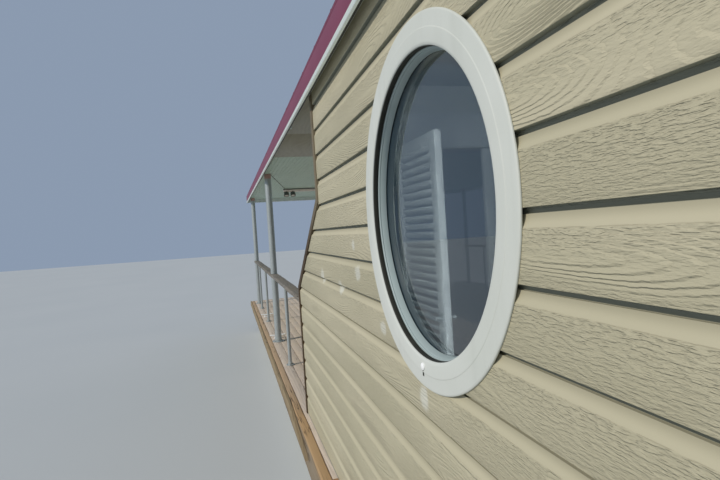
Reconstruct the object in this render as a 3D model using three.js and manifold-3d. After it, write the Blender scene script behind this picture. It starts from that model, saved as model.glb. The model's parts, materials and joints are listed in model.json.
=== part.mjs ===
// Houseboat: a clapboard cabin and a long covered terrace on two flat-bottomed pontoons.
// Millimetres, +X to the bow, +Y to port, +Z up, origin on the floor under the middle.
import * as THREE from 'three';
import { mergeVertices } from 'three/addons/utils/BufferGeometryUtils.js';
import Module from 'manifold-3d';

const wasm = await Module();
wasm.setup();

// Driving dimensions
const seat = 0.3; // gap between pieces that rest on each other
const platformLength = 15200;
const deckTop = 1070;
const deckThickness = 30;
const cabinHalf = 2500; // middle line to the outside of a side wall
const wallThickness = 80;
const ceilingHeight = 2240; // deck to ceiling
const ceilingThickness = 18;

const cabinRear = -6600;
const sidingFront = -850; // where the boards of a side wall end above
const wingFront = 205; // where they end below, beside the terrace
const wingTop = 980; // height of the low part above the deck
const slopeTop = 1595; // height where the slope meets the upright edge
const trimWidth = 48;
const trimProud = 8;
const frontWallFace = -890;

const boardPitch = 143; // one course of boards
const grooveDatum = 1437.3; // a groove's height above the deck
const grooveDepth = 9;
const grooveHeight = 6.5;
const bevelHeight = 27;

const portholeRadius = 512.5; // outside of the ring
const glassOpening = 427;
const glassRadius = 440;
const glassDepth = { front: 46, back: 56 }; // behind the boards' face
const portholeHeight = 1472; // centre above the deck
const portholes = { front: -2387, rear: -5063 };
const ringSides = 48;

const beamThickness = 60;
const beamHeight = 230;
const beamOuter = 2592;
const railThickness = 30;
const railHeight = 100;
const railTail = { tip: -400, top: 500 }; // long slanted rear end of the rubbing plank

const hullLength = 14900;
const hullWidth = 1000;
const hullOuter = 2450;
const hullTop = 860;
const chine = 140; // radius of the pontoons' lower edges
const bow = { run: 1700, height: 640 }; // raked forward end of a pontoon
const stern = { run: 700, height: 330 };
const crossbeams = 11;
const crossbeamWidth = 90;
const bearerWidth = 60;
const bearers = [-2300, -1660, 1600, 2240]; // starboard face of each lengthwise bearer

const deckBoard = { pitch: 101, gap: 5, depth: 6 };
const ceilingBoard = { pitch: 92, gap: 5, depth: 4 };

const roof = { rear: -6900, front: 7500, half: 2560, rise: 300 };
const fascia = { thickness: 25, bottom: 2192, top: 2308 }; // heights above the deck
const strip = { thickness: 31, bottom: 2167, proud: 6 };
const ceilingJoint = 1600; // panel behind, boards ahead

const postLine = 2452; // posts, stanchions and handrail stand on this line
const post = { radius: 42.5, flange: 78, sides: 20 };
const posts = { middle: 3050, front: 7100 };
const stanchion = { radius: 19, flange: 45, sides: 12 };
const stanchions = [1750, 4700, 6300];
const flangeThickness = 8;
const handrail = { width: 104, thickness: 42, top: 910, front: 7160 };
const cleatLine = 2441;
const cleats = { middle: 3250, front: 5200 };
const lampPlace = [5300, 1685];

const doorHeight = 1872;
const doorThickness = 35;
const doorGap = 6;
const meetingGap = 10;
const hinge = { offset: 9, radius: 6, height: 40, plate: 4, reach: 34 };
const doorwayWidth = 1166;
const doorwayOuter = 2080; // outboard jamb of each front doorway
const rearDoorWidth = 760;
const stile = 65;
const topRail = 55;
const footRail = 130;
const slatPitch = 41;

const wallTop = deckTop + ceilingHeight - seat;
const wallFoot = deckTop + seat;
const finishes = {
  hullPaint: new THREE.MeshStandardMaterial({ color: 0xd8dbd6, roughness: 0.45, metalness: 0.0 }),
  rawTimber: new THREE.MeshStandardMaterial({ color: 0xa9926f, roughness: 0.85, metalness: 0.0 }),
  deckTimber: new THREE.MeshStandardMaterial({ color: 0x9f9588, roughness: 0.9, metalness: 0.0 }),
  frameTimber: new THREE.MeshStandardMaterial({ color: 0x8a7a62, roughness: 0.85, metalness: 0.0 }),
  floorTimber: new THREE.MeshStandardMaterial({ color: 0xa98a62, roughness: 0.6, metalness: 0.0 }),
  siding: new THREE.MeshStandardMaterial({ color: 0xb2ac92, roughness: 0.75, metalness: 0.0 }),
  varnish: new THREE.MeshStandardMaterial({ color: 0x5d4a37, roughness: 0.5, metalness: 0.0 }),
  whiteFrame: new THREE.MeshStandardMaterial({ color: 0xcfd3d0, roughness: 0.35, metalness: 0.0 }),
  glass: new THREE.MeshStandardMaterial({ color: 0x3c4a55, roughness: 0.05, metalness: 0.0 }),
  maroon: new THREE.MeshStandardMaterial({ color: 0x7c3c58, roughness: 0.5, metalness: 0.1 }),
  ceilingPly: new THREE.MeshStandardMaterial({ color: 0x77705f, roughness: 0.6, metalness: 0.0 }),
  ceilingBoards: new THREE.MeshStandardMaterial({ color: 0x78917f, roughness: 0.7, metalness: 0.0 }),
  galvanised: new THREE.MeshStandardMaterial({ color: 0x8f979c, roughness: 0.45, metalness: 0.7 }),
  whitePaint: new THREE.MeshStandardMaterial({ color: 0xd9dcda, roughness: 0.5, metalness: 0.0 }),
  darkMetal: new THREE.MeshStandardMaterial({ color: 0x2b2e30, roughness: 0.5, metalness: 0.4 }),
};

// Solid helpers: closed geometry in, joined or cut geometry out
function toSolid(geometry) {
  const plain = geometry.clone();
  plain.deleteAttribute('normal');
  plain.deleteAttribute('uv');
  const merged = mergeVertices(plain, 1e-3);
  return new wasm.Manifold(new wasm.Mesh({
    numProp: 3,
    vertProperties: new Float32Array(merged.attributes.position.array),
    triVerts: new Uint32Array(merged.index.array),
  }));
}

function toGeometry(solid) {
  const mesh = solid.getMesh();
  const geometry = new THREE.BufferGeometry();
  geometry.setAttribute('position', new THREE.BufferAttribute(mesh.vertProperties, 3));
  geometry.setIndex(new THREE.BufferAttribute(mesh.triVerts, 1));
  geometry.computeVertexNormals();
  return geometry;
}

const join = (first, ...others) => toGeometry(others.reduce((s, g) => s.add(toSolid(g)), toSolid(first)));
const cut = (first, ...others) => toGeometry(others.reduce((s, g) => s.subtract(toSolid(g)), toSolid(first)));
const overlap = (first, second) => toGeometry(toSolid(first).intersect(toSolid(second)));

function box(x0, x1, y0, y1, z0, z1) {
  const block = new THREE.BoxGeometry(x1 - x0, y1 - y0, z1 - z0);
  return block.translate((x0 + x1) / 2, (y0 + y1) / 2, (z0 + z1) / 2);
}

// Outline in two of the three directions, carried along the third
function prism(outline, from, to, along) {
  const shape = outline instanceof THREE.Shape
    ? outline
    : new THREE.Shape(outline.map(([u, v]) => new THREE.Vector2(u, v)));
  const solid = new THREE.ExtrudeGeometry(shape, { depth: to - from, bevelEnabled: false, curveSegments: 6 });
  if (along === 'x') {
    const turn = new THREE.Matrix4().makeBasis(
      new THREE.Vector3(0, 1, 0), new THREE.Vector3(0, 0, 1), new THREE.Vector3(1, 0, 0));
    return solid.applyMatrix4(turn).translate(from, 0, 0);
  }
  if (along === 'y') return solid.rotateX(Math.PI / 2).translate(0, to, 0);
  return solid.translate(0, 0, from);
}

function mirrored(geometry) {
  const copy = geometry.index ? geometry.toNonIndexed() : geometry.clone();
  const p = copy.attributes.position;
  for (let i = 0; i < p.count; i += 3) {
    const second = [p.getX(i + 1), p.getY(i + 1), p.getZ(i + 1)];
    p.setXYZ(i + 1, p.getX(i + 2), p.getY(i + 2), p.getZ(i + 2));
    p.setXYZ(i + 2, ...second);
  }
  copy.scale(1, -1, 1);
  copy.computeVertexNormals();
  return copy;
}

const boat = new THREE.Group();
function place(name, geometry, material, position = [0, 0, 0], turn = 0) {
  const mesh = new THREE.Mesh(geometry, material);
  mesh.name = name;
  mesh.position.set(...position);
  mesh.rotation.z = turn;
  boat.add(mesh);
}

// A piece made for port, and the same piece mirrored to starboard
function placePair(name, geometry, material) {
  place(`${name}_port`, geometry, material);
  place(`${name}_starboard`, mirrored(geometry), material);
}

// Pontoons: side outline with raked ends, met with a section that has round chines
function pontoon() {
  const end = hullLength / 2;
  const side = new THREE.Shape();
  side.moveTo(-end, hullTop);
  side.lineTo(-end, stern.height);
  side.quadraticCurveTo(-end + 60, 30, -end + stern.run, 0);
  side.lineTo(end - bow.run, 0);
  side.quadraticCurveTo(end - 350, 60, end, bow.height);
  side.lineTo(end, hullTop);
  const inner = hullOuter - hullWidth;
  const section = new THREE.Shape();
  section.moveTo(inner, hullTop + 10);
  section.lineTo(inner, chine);
  section.absarc(inner + chine, chine, chine, Math.PI, Math.PI * 1.5);
  section.lineTo(hullOuter - chine, 0);
  section.absarc(hullOuter - chine, chine, chine, Math.PI * 1.5, Math.PI * 2);
  section.lineTo(hullOuter, hullTop + 10);
  return overlap(prism(side, inner - 10, hullOuter + 10, 'y'), prism(section, -end - 10, end + 10, 'x'));
}
placePair('hull', pontoon(), finishes.hullPaint);

// Bearers across both pontoons, tied by a lengthwise bearer near each pontoon's sides
const platformHalf = platformLength / 2;
const boardSide = beamOuter - beamThickness - seat;
const frameTop = deckTop - deckThickness - seat;
const frameEnd = platformHalf - beamThickness - seat;
function deckFrame() {
  const pitch = (2 * frameEnd - crossbeamWidth) / (crossbeams - 1);
  const parts = [];
  for (let i = 0; i < crossbeams; i += 1) {
    const x = -frameEnd + i * pitch;
    parts.push(box(x, x + crossbeamWidth, -boardSide, boardSide, hullTop + seat, frameTop));
  }
  const end = frameEnd - 10;
  for (const y of bearers) {
    parts.push(box(-end, end, y, y + bearerWidth, hullTop + 40, frameTop - 30));
  }
  return join(...parts);
}
place('deck_frame', deckFrame(), finishes.frameTimber);

// Slab of lengthwise boards: a groove between each two, in its top face or its underside
function plankedSlab(rear, front, half, foot, top, board, side) {
  const face = side === 'top' ? top : foot;
  const back = side === 'top' ? foot : top;
  const floor = face + Math.sign(back - face) * board.depth;
  const count = Math.round(2 * half / board.pitch);
  const outline = [[-half, back], [-half, face]];
  for (let i = 1; i < count; i += 1) {
    const y = -half + i * 2 * half / count;
    const [y0, y1] = [y - board.gap / 2, y + board.gap / 2];
    outline.push([y0, face], [y0, floor], [y1, floor], [y1, face]);
  }
  outline.push([half, face], [half, back]);
  return prism(outline, rear, front, 'x');
}

// Decks: table of name, rear end, front end, finish
const decks = [
  ['terrace_deck', frontWallFace + seat, frameEnd, finishes.deckTimber],
  ['cabin_floor', cabinRear + seat, frontWallFace, finishes.floorTimber],
  ['aft_deck', -frameEnd, cabinRear, finishes.deckTimber],
];
for (const [name, rear, front, finish] of decks) {
  const slab = plankedSlab(rear, front, boardSide, deckTop - deckThickness, deckTop, deckBoard, 'top');
  place(name, slab, finish);
}

// Timber beams round the platform and the rubbing planks on its sides
const beamFoot = deckTop - beamHeight;
const beamSide = beamOuter - beamThickness;
const sideBeam = box(-platformHalf, platformHalf, beamSide, beamOuter, beamFoot, deckTop);
placePair('edge_beam', sideBeam, finishes.rawTimber);
for (const [end, x] of [['front', platformHalf - beamThickness], ['rear', -platformHalf]]) {
  const endBeam = box(x, x + beamThickness, -beamSide + seat, beamSide - seat, beamFoot, deckTop);
  place(`edge_beam_${end}`, endBeam, finishes.rawTimber);
}
const plank = [
  [railTail.tip, deckTop - railHeight], [platformHalf, deckTop - railHeight],
  [platformHalf, deckTop], [railTail.top, deckTop],
];
const plankInner = beamOuter + seat;
placePair('rubbing_plank', prism(plank, plankInner, plankInner + railThickness, 'y'), finishes.rawTimber);

// Clapboard section: from the top down each course has a groove, a bevel and a flat face
function boardedSection(inside, outside, foot, top) {
  const dir = Math.sign(outside - inside);
  const outline = [[inside, foot], [outside, foot]];
  const first = Math.ceil((foot + 40 - deckTop - grooveDatum) / boardPitch);
  for (let course = first; ; course += 1) {
    const groove = deckTop + grooveDatum + course * boardPitch;
    if (groove > top - 20) break;
    outline.push([outside, groove - grooveHeight - bevelHeight]);
    outline.push([outside - dir * grooveDepth, groove - grooveHeight]);
    outline.push([outside - dir * grooveDepth, groove]);
    outline.push([outside, groove]);
  }
  outline.push([outside, top], [inside, top]);
  return outline;
}

// Front edge of a side wall, from the top down, in X and height
const wingEdge = [
  [sidingFront, wallTop], [sidingFront, deckTop + slopeTop],
  [wingFront, deckTop + wingTop], [wingFront, wallFoot],
];
// The same edge moved forward by a distance, with its slope kept parallel
function movedEdge(distance) {
  const [a, b, c, d] = wingEdge;
  const run = c[0] - b[0];
  const fall = c[1] - b[1];
  const lift = distance * Math.hypot(run, fall) / run;
  const heightAt = (x) => b[1] + lift + (x - b[0]) * fall / run;
  return [
    [a[0] + distance, a[1]], [a[0] + distance, heightAt(a[0] + distance)],
    [c[0] + distance, heightAt(c[0] + distance)], [d[0] + distance, d[1]],
  ];
}

function disc(radius, from, to, sides = ringSides) {
  return new THREE.CylinderGeometry(radius, radius, to - from, sides).translate(0, (from + to) / 2, 0);
}

const holeRadius = portholeRadius - 42;
const centreHeight = deckTop + portholeHeight;
function sideWall() {
  const inside = cabinHalf - wallThickness;
  const boards = prism(boardedSection(inside, cabinHalf, wallFoot, wallTop), cabinRear, wingFront, 'x');
  const outline = [[cabinRear - 10, wallFoot - 10], [cabinRear - 10, wallTop + 10],
    [sidingFront, wallTop + 10], wingEdge[1], wingEdge[2], [wingFront, wallFoot - 10]];
  const panel = overlap(boards, prism(outline, inside - 10, cabinHalf + 10, 'y'));
  const holes = Object.values(portholes).map(
    (x) => disc(holeRadius, inside - 10, cabinHalf + 10).translate(x, 0, centreHeight));
  return cut(panel, ...holes);
}
placePair('side_wall', sideWall(), finishes.siding);

function wingTrim() {
  const outline = [...movedEdge(seat), ...movedEdge(trimWidth).reverse()];
  return prism(outline, cabinHalf - wallThickness, cabinHalf + trimProud, 'y');
}
placePair('wing_trim', wingTrim(), finishes.varnish);

// Porthole ring turned about its axis: radius and distance out from the wall's face.
// A flange with one step lies on the boards, and a bead inside its lip holds the glass.
function portholeRing() {
  const sleeve = holeRadius - seat;
  const rebate = glassRadius + seat;
  const profile = [
    [glassOpening - 12, -glassDepth.front], [rebate, -glassDepth.front], [rebate, -wallThickness],
    [sleeve, -wallThickness], [sleeve, seat], [portholeRadius, seat], [portholeRadius, 4],
    [portholeRadius - 4, 6.2], [portholeRadius - 40, 7.5], [portholeRadius - 42, 8.8],
    [glassOpening + 6, 7.5], [glassOpening, 4.5], [glassOpening, -14],
    [glassOpening - 6, -17],
  ];
  const points = [...profile, profile[0]].map(([r, out]) => new THREE.Vector2(r, out));
  return new THREE.LatheGeometry(points, ringSides);
}

const faceOut = (geometry, x) => geometry.translate(x, cabinHalf, centreHeight);
for (const [end, x] of Object.entries(portholes)) {
  const pane = disc(glassRadius, -glassDepth.back, -glassDepth.front - seat);
  placePair(`porthole_ring_${end}`, faceOut(portholeRing(), x), finishes.whiteFrame);
  placePair(`porthole_glass_${end}`, faceOut(pane, x), finishes.glass);
}

// Hinge: a knuckle on the leaf turns on a knuckle of the wall, one pair low and one high
const hingeHeights = [260, 1620];
const knuckle = (z) => new THREE.CylinderGeometry(hinge.radius, hinge.radius, hinge.height, 12)
  .rotateX(Math.PI / 2).translate(0, 0, z + hinge.height / 2);

// Knuckles and plates of one leaf's hinges that belong to the wall, in the leaf's own frame.
// side is +1 where the leaf runs to +Y from its axis, and -1 where it runs to -Y.
function wallKnuckles(side) {
  const parts = [];
  for (const z of hingeHeights) {
    const low = z - hinge.height - seat;
    const y = [0, -side * hinge.reach].sort((a, b) => a - b);
    parts.push(knuckle(low));
    parts.push(box(hinge.offset - hinge.plate - 3, hinge.offset + 1, y[0], y[1], low, low + hinge.height));
  }
  return parts;
}

// Louvred leaf, closed, with its hinge axis on Z: stiles and rails round a pack of slats
const leafFoot = 10;
const leafTop = doorHeight - doorGap;
function louvredLeaf(width, side) {
  const inner = hinge.offset;
  const outer = inner + doorThickness;
  const railTop = leafTop - topRail;
  const railFoot = leafFoot + footRail;
  const count = Math.floor((railTop - railFoot) / slatPitch);
  const pitch = (railTop - railFoot) / count;
  const slats = [];
  for (let i = 0; i < count; i += 1) {
    slats.push([outer - 4, railFoot + i * pitch], [outer - 14, railFoot + (i + 0.98) * pitch]);
  }
  for (let i = count - 1; i >= 0; i -= 1) {
    slats.push([inner + 4, railFoot + (i + 0.98) * pitch], [inner + 14, railFoot + (i + 0.02) * pitch]);
  }
  const near = 2;
  const far = near + width;
  const frame = cut(
    box(inner, outer, near, far, leafFoot, leafTop),
    box(inner - 5, outer + 5, near + stile, far - stile, railFoot, railTop));
  const pack = prism(slats, near + stile - 8, far - stile + 8, 'y');
  const parts = [frame, pack];
  for (const z of hingeHeights) {
    parts.push(knuckle(z));
    parts.push(box(-3, inner + 2, 1, hinge.reach, z, z + hinge.height));
  }
  const leaf = join(...parts);
  return side > 0 ? leaf : mirrored(leaf);
}

// Doors: table of name, hinge axis X and Y, turn of the wall it hangs in, side, leaf width, turn at rest
const innerFace = frontWallFace - wallThickness;
const leafWidth = (doorwayWidth - 2 * doorGap - meetingGap) / 2;
const doorwayInner = doorwayOuter - doorwayWidth;
const rearDoorEdge = rearDoorWidth / 2;
const axisIn = doorGap - 2; // the axis lies this far inside the jamb
const frontAxis = innerFace - hinge.offset;
const rearAxis = cabinRear + wallThickness + hinge.offset;
const doors = [
  ['door_port_outer', frontAxis, doorwayOuter - axisIn, 0, -1, leafWidth, -Math.PI / 2],
  ['door_port_inner', frontAxis, doorwayInner + axisIn, 0, 1, leafWidth, 0],
  ['door_starboard_inner', frontAxis, -doorwayInner - axisIn, 0, -1, leafWidth, 0],
  ['door_starboard_outer', frontAxis, -doorwayOuter + axisIn, 0, 1, leafWidth, 0],
  ['door_rear', rearAxis, rearDoorEdge - axisIn, Math.PI, 1, rearDoorWidth - 2 * doorGap, 0],
];
for (const [name, x, y, wallTurn, side, width, restTurn] of doors) {
  place(name, louvredLeaf(width, side), finishes.whitePaint, [x, y, deckTop], wallTurn + restTurn);
}

function hingesOnWall(front) {
  return doors.filter(([, x]) => (x === frontAxis) === front).flatMap(([, x, y, wallTurn, side]) => (
    wallKnuckles(side).map((part) => part.rotateZ(wallTurn).translate(x, y, deckTop))));
}

// End walls stand between the side walls
function endWall(inside, outside, openings, hinges) {
  const reach = cabinHalf - wallThickness - seat;
  const boards = prism(boardedSection(inside, outside, wallFoot, wallTop), -reach, reach, 'y');
  const doorways = openings.map(([y0, y1]) => (
    box(Math.min(inside, outside) - 10, Math.max(inside, outside) + 10, y0, y1, 0, deckTop + doorHeight)));
  return join(cut(boards, ...doorways), ...hinges);
}
place('front_wall', endWall(innerFace, frontWallFace,
  [[doorwayInner, doorwayOuter], [-doorwayOuter, -doorwayInner]], hingesOnWall(true)), finishes.siding);
place('rear_wall', endWall(cabinRear + wallThickness, cabinRear,
  [[-rearDoorEdge, rearDoorEdge]], hingesOnWall(false)), finishes.siding);

// Ceilings, roof block with four slopes, and the boards round its edge
const ceilingFoot = deckTop + ceilingHeight;
const ceilingTop = ceilingFoot + ceilingThickness;
const edge = fascia.thickness + seat;
const ceilingHalf = roof.half - edge;
const ceilingEnds = { rear: roof.rear + edge, front: roof.front - edge };
const panel = box(ceilingEnds.rear, ceilingJoint - seat, -ceilingHalf, ceilingHalf, ceilingFoot, ceilingTop);
const ceilingSlab = plankedSlab(ceilingJoint, ceilingEnds.front, ceilingHalf, ceilingFoot, ceilingTop,
  ceilingBoard, 'foot');
place('ceiling_panel', panel, finishes.ceilingPly);
place('ceiling_boards', ceilingSlab, finishes.ceilingBoards);

function roofBlock() {
  const eaves = deckTop + fascia.top + seat;
  const { rear, front } = ceilingEnds;
  const core = box(rear, front, -ceilingHalf, ceilingHalf, ceilingTop + seat, eaves + 1);
  const lip = 12;
  const hipRun = roof.half;
  const [x0, x1, y1] = [roof.rear, roof.front, roof.half];
  const corners = [
    [x0, -y1, eaves], [x1, -y1, eaves], [x1, y1, eaves], [x0, y1, eaves],
    [x0, -y1, eaves + lip], [x1, -y1, eaves + lip], [x1, y1, eaves + lip], [x0, y1, eaves + lip],
    [x0 + hipRun, 0, eaves + lip + roof.rise], [x1 - hipRun, 0, eaves + lip + roof.rise],
  ];
  const faces = [
    [0, 3, 2], [0, 2, 1], [0, 1, 5], [0, 5, 4], [1, 2, 6], [1, 6, 5], [2, 3, 7], [2, 7, 6],
    [3, 0, 4], [3, 4, 7], [4, 5, 9], [4, 9, 8], [5, 6, 9], [6, 7, 8], [6, 8, 9], [7, 4, 8],
  ];
  const hip = new THREE.BufferGeometry();
  hip.setAttribute('position', new THREE.Float32BufferAttribute(faces.flat().flatMap((i) => corners[i]), 3));
  return join(core, hip);
}
place('roof', roofBlock(), finishes.maroon);

function edgeRing(grow, thickness, foot, top) {
  const outer = [roof.rear - grow, roof.front + grow, -roof.half - grow, roof.half + grow];
  const [x0, x1, y0, y1] = outer;
  return cut(box(x0, x1, y0, y1, foot, top),
    box(x0 + thickness, x1 - thickness, y0 + thickness, y1 - thickness, foot - 10, top + 10));
}
const fasciaFoot = deckTop + fascia.bottom;
place('roof_fascia', edgeRing(0, fascia.thickness, fasciaFoot + seat, deckTop + fascia.top), finishes.maroon);
place('roof_edge_strip', edgeRing(strip.proud, strip.thickness, deckTop + strip.bottom, fasciaFoot),
  finishes.whitePaint);

// Posts and stanchions: a turned tube on a round flange
function turnedPost(form, height) {
  const outline = [[0, 0], [form.flange, 0], [form.flange, flangeThickness],
    [form.radius, flangeThickness], [form.radius, height], [0, height]];
  return new THREE.LatheGeometry(outline.map(([r, z]) => new THREE.Vector2(r, z)), form.sides)
    .rotateX(Math.PI / 2).translate(0, postLine, deckTop + seat);
}
for (const [name, x] of Object.entries(posts)) {
  const tube = turnedPost(post, ceilingHeight - 2 * seat).translate(x, 0, 0);
  placePair(`post_${name}`, tube, finishes.galvanised);
}
const railTop = deckTop + handrail.top;
const stanchionHeight = handrail.top - handrail.thickness - 2 * seat;
stanchions.forEach((x, i) => {
  const tube = turnedPost(stanchion, stanchionHeight).translate(x, 0, 0);
  placePair(`stanchion_${i + 1}`, tube, finishes.galvanised);
});

// Handrail from the wing to the front post, with a round hole for each post
function handrailBar() {
  const half = handrail.width / 2;
  const rear = wingFront + trimWidth + seat;
  const foot = railTop - handrail.thickness;
  const bar = box(rear, handrail.front, postLine - half, postLine + half, foot, railTop);
  const holeSize = post.radius + seat;
  const holes = Object.values(posts).map((x) => (
    new THREE.CylinderGeometry(holeSize, holeSize, 2 * handrail.thickness + 20, post.sides)
      .rotateX(Math.PI / 2).translate(x, postLine, railTop)));
  return cut(bar, ...holes);
}
placePair('handrail', handrailBar(), finishes.deckTimber);

// Horn cleat across the deck edge: one outline seen from the side, with a gap under the horns
function cleat() {
  const half = 112;
  const foot = 58;
  const neck = 44;
  const tip = { low: 42, high: 60 };
  const outline = new THREE.Shape();
  outline.moveTo(-foot, 0);
  outline.lineTo(foot, 0);
  outline.lineTo(foot, 8);
  outline.lineTo(neck, 30);
  outline.quadraticCurveTo(76, 33, half, tip.low);
  outline.lineTo(half - 4, tip.high);
  outline.quadraticCurveTo(0, tip.low, -half + 4, tip.high);
  outline.lineTo(-half, tip.low);
  outline.quadraticCurveTo(-76, 33, -neck, 30);
  outline.lineTo(-foot, 8);
  const gap = [[-26, 8], [26, 8], [22, 34], [-22, 34]];
  return cut(prism(outline, -14, 14, 'x'), prism(gap, -20, 20, 'x'));
}
for (const [name, x] of Object.entries(cleats)) {
  placePair(`cleat_${name}`, cleat().translate(x, cleatLine, deckTop + seat), finishes.whitePaint);
}

// Lamp under the terrace ceiling: a bar across the boat with two short round heads
function lamp() {
  const bar = { half: 315, width: 60, depth: 34 };
  const head = { front: 46, back: 38, length: 90, drop: 84, tilt: -0.4 };
  const parts = [box(-bar.width / 2, bar.width / 2, -bar.half, bar.half, -bar.depth, 0)];
  for (const y of [145, 262]) {
    parts.push(box(-10, 10, y - 10, y + 10, -60, -30));
    parts.push(new THREE.CylinderGeometry(head.front, head.back, head.length, 16)
      .rotateZ(Math.PI / 2).rotateY(head.tilt).translate(0, y, -head.drop));
  }
  return join(...parts);
}
place('terrace_lamp', lamp(), finishes.darkMetal, [...lampPlace, ceilingFoot - seat]);

export default boat;
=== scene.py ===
import bmesh
import bpy
import json
import math
import numpy as np
from mathutils import Matrix, Vector


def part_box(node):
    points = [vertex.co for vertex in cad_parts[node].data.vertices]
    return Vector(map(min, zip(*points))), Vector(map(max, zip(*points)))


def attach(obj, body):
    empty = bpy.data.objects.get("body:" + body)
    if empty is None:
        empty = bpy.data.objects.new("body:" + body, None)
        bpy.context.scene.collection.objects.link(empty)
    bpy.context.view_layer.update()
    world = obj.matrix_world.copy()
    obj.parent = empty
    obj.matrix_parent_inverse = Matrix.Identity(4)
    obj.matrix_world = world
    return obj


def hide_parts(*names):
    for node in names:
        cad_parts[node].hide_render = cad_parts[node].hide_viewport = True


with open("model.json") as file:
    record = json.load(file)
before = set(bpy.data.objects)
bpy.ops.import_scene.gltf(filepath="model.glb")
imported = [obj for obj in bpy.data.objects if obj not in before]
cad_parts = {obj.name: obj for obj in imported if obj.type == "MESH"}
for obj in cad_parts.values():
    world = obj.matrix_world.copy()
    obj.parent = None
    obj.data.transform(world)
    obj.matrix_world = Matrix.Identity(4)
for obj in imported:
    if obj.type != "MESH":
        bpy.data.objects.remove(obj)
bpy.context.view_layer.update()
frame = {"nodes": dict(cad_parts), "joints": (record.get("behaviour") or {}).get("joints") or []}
print("frame loaded,", len(frame["nodes"]), "nodes")

sides = {"port": 1, "starboard": -1}
courses = {"pitch": 0.143, "datum": 2.5073}    # height of one board, and of the top of one groove
waterline = 0.42
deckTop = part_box("terrace_deck")[1].z
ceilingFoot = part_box("ceiling_panel")[0].z
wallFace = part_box("side_wall_port")[1].y    # outside of the boards, from the middle line
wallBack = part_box("side_wall_port")[0].y


def maths(operation, swapped=False):
    # a method of Wire that adds one Math node; swapped for the reflected forms such as 1 - wire
    def method(self, other=0.0):
        sockets = {0: other, 1: self} if swapped else {0: self, 1: other}
        return self.paint.node("ShaderNodeMath", {"operation": operation}, sockets)
    return method


# Shader maths: a Wire is a socket of a material, and sums or products of wires add Math nodes
class Wire:
    def __init__(self, paint, socket):
        self.paint = paint
        self.socket = socket

    __add__, __radd__ = maths("ADD"), maths("ADD", True)
    __sub__, __rsub__ = maths("SUBTRACT"), maths("SUBTRACT", True)
    __mul__, __rmul__ = maths("MULTIPLY"), maths("MULTIPLY", True)
    __truediv__, __rtruediv__ = maths("DIVIDE"), maths("DIVIDE", True)
    __mod__, __pow__ = maths("FLOORED_MODULO"), maths("POWER")
    __abs__, __floor__ = maths("ABSOLUTE"), maths("FLOOR")
    least, most = maths("MINIMUM"), maths("MAXIMUM")


# Paint: one Principled material; constants go on the shader's own sockets
class Paint:
    def __init__(self, name, constants):
        self.material = bpy.data.materials.new(name)
        self.material.use_nodes = True
        self.tree = self.material.node_tree
        self.shader = self.tree.nodes["Principled BSDF"]
        for socket, value in constants.items():
            self.shader.inputs[socket].default_value = value

    def node(self, kind, settings, sockets, output=0):
        made = self.tree.nodes.new(kind)
        for key, value in settings.items():
            setattr(made, key, value)
        for key, value in sockets.items():
            if isinstance(value, Wire):
                self.tree.links.new(value.socket, made.inputs[key])
            else:
                made.inputs[key].default_value = value
        return Wire(self, made.outputs[output])

    def feed(self, socket, wire):
        self.tree.links.new(wire.socket, self.shader.inputs[socket])

    def place(self):
        # Object coordinates as three wires
        where = self.node("ShaderNodeTexCoord", {}, {}, "Object")
        split = self.node("ShaderNodeSeparateXYZ", {}, {0: where})
        return [Wire(self, output) for output in split.socket.node.outputs]

    def point(self, x, y, z):
        return self.node("ShaderNodeCombineXYZ", {}, {0: x, 1: y, 2: z})

    def noise(self, x, y, z, detail=2.0, roughness=0.5):
        sockets = {"Vector": self.point(x, y, z), "Scale": 1.0, "Detail": detail, "Roughness": roughness}
        return self.node("ShaderNodeTexNoise", {"noise_dimensions": "3D"}, sockets)

    def cells(self, x, y, z):
        sockets = {"Vector": self.point(x, y, z), "Scale": 1.0}
        return self.node("ShaderNodeTexVoronoi", {"feature": "F1"}, sockets)

    def tone(self):
        # the board's own number, between 0 and 1
        return self.node("ShaderNodeAttribute", {"attribute_name": "tone"}, {}, "Fac")

    def between(self, value, low, high):
        # 0 at low, 1 at high, smooth on the way; low may be the larger one
        settings = {"interpolation_type": "SMOOTHSTEP"}
        return self.node("ShaderNodeMapRange", settings, {0: value, 1: low, 2: high})

    def blend(self, factor, first, second):
        sockets = {0: factor, 6: first, 7: second}
        return self.node("ShaderNodeMix", {"data_type": "RGBA"}, sockets, 2)

    def done(self, colour, roughness, height, depth):
        # colour, roughness and relief fed in; the relief is `depth` metres for a height from 0 to 1
        self.feed("Base Color", colour)
        self.feed("Roughness", roughness)
        sockets = {"Strength": 1.0, "Distance": depth, "Height": height}
        self.feed("Normal", self.node("ShaderNodeBump", {}, sockets))
        return self.material


def shade(colour):
    # a colour in screen values, 0 to 255, turned to linear light
    part = np.array(colour) / 255
    linear = np.where(part <= 0.04045, part / 12.92, ((part + 0.055) / 1.055) ** 2.4)
    return (*linear.tolist(), 1.0)


def shaded(look):
    # a look with its colours, which are its tuples of three, turned to linear light
    return {key: shade(value) if isinstance(value, tuple) and len(value) == 3 else value
            for key, value in look.items()}


# Siding: an embossed flat face, a smooth bevel above it and a dark groove, course by course
sidingLook = {
    **courses, "faceTop": 0.1095, "grooveFoot": 0.1356, "grooveHead": 0.0044, "relief": 0.0019,
    # the colour given for painted shade, in the grain's hollows and on the bevel under each groove
    "board": (184, 177, 149), "pale": (194, 186, 159), "groove": (138, 140, 126), "pit": (126, 120, 98),
    # pale smears on the port wall: middle and half size, in X and Z
    "smears": [(-1.655, 2.307, 0.055, 0.038), (-1.293, 2.213, 0.055, 0.042), (-0.827, 2.236, 0.060, 0.050),
               (-2.344, 1.988, 0.038, 0.045), (-1.979, 2.130, 0.040, 0.028), (-1.608, 2.428, 0.030, 0.030)],
    "smear": (222, 222, 212), "smearInside": (2.3, 2.4),
}


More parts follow.
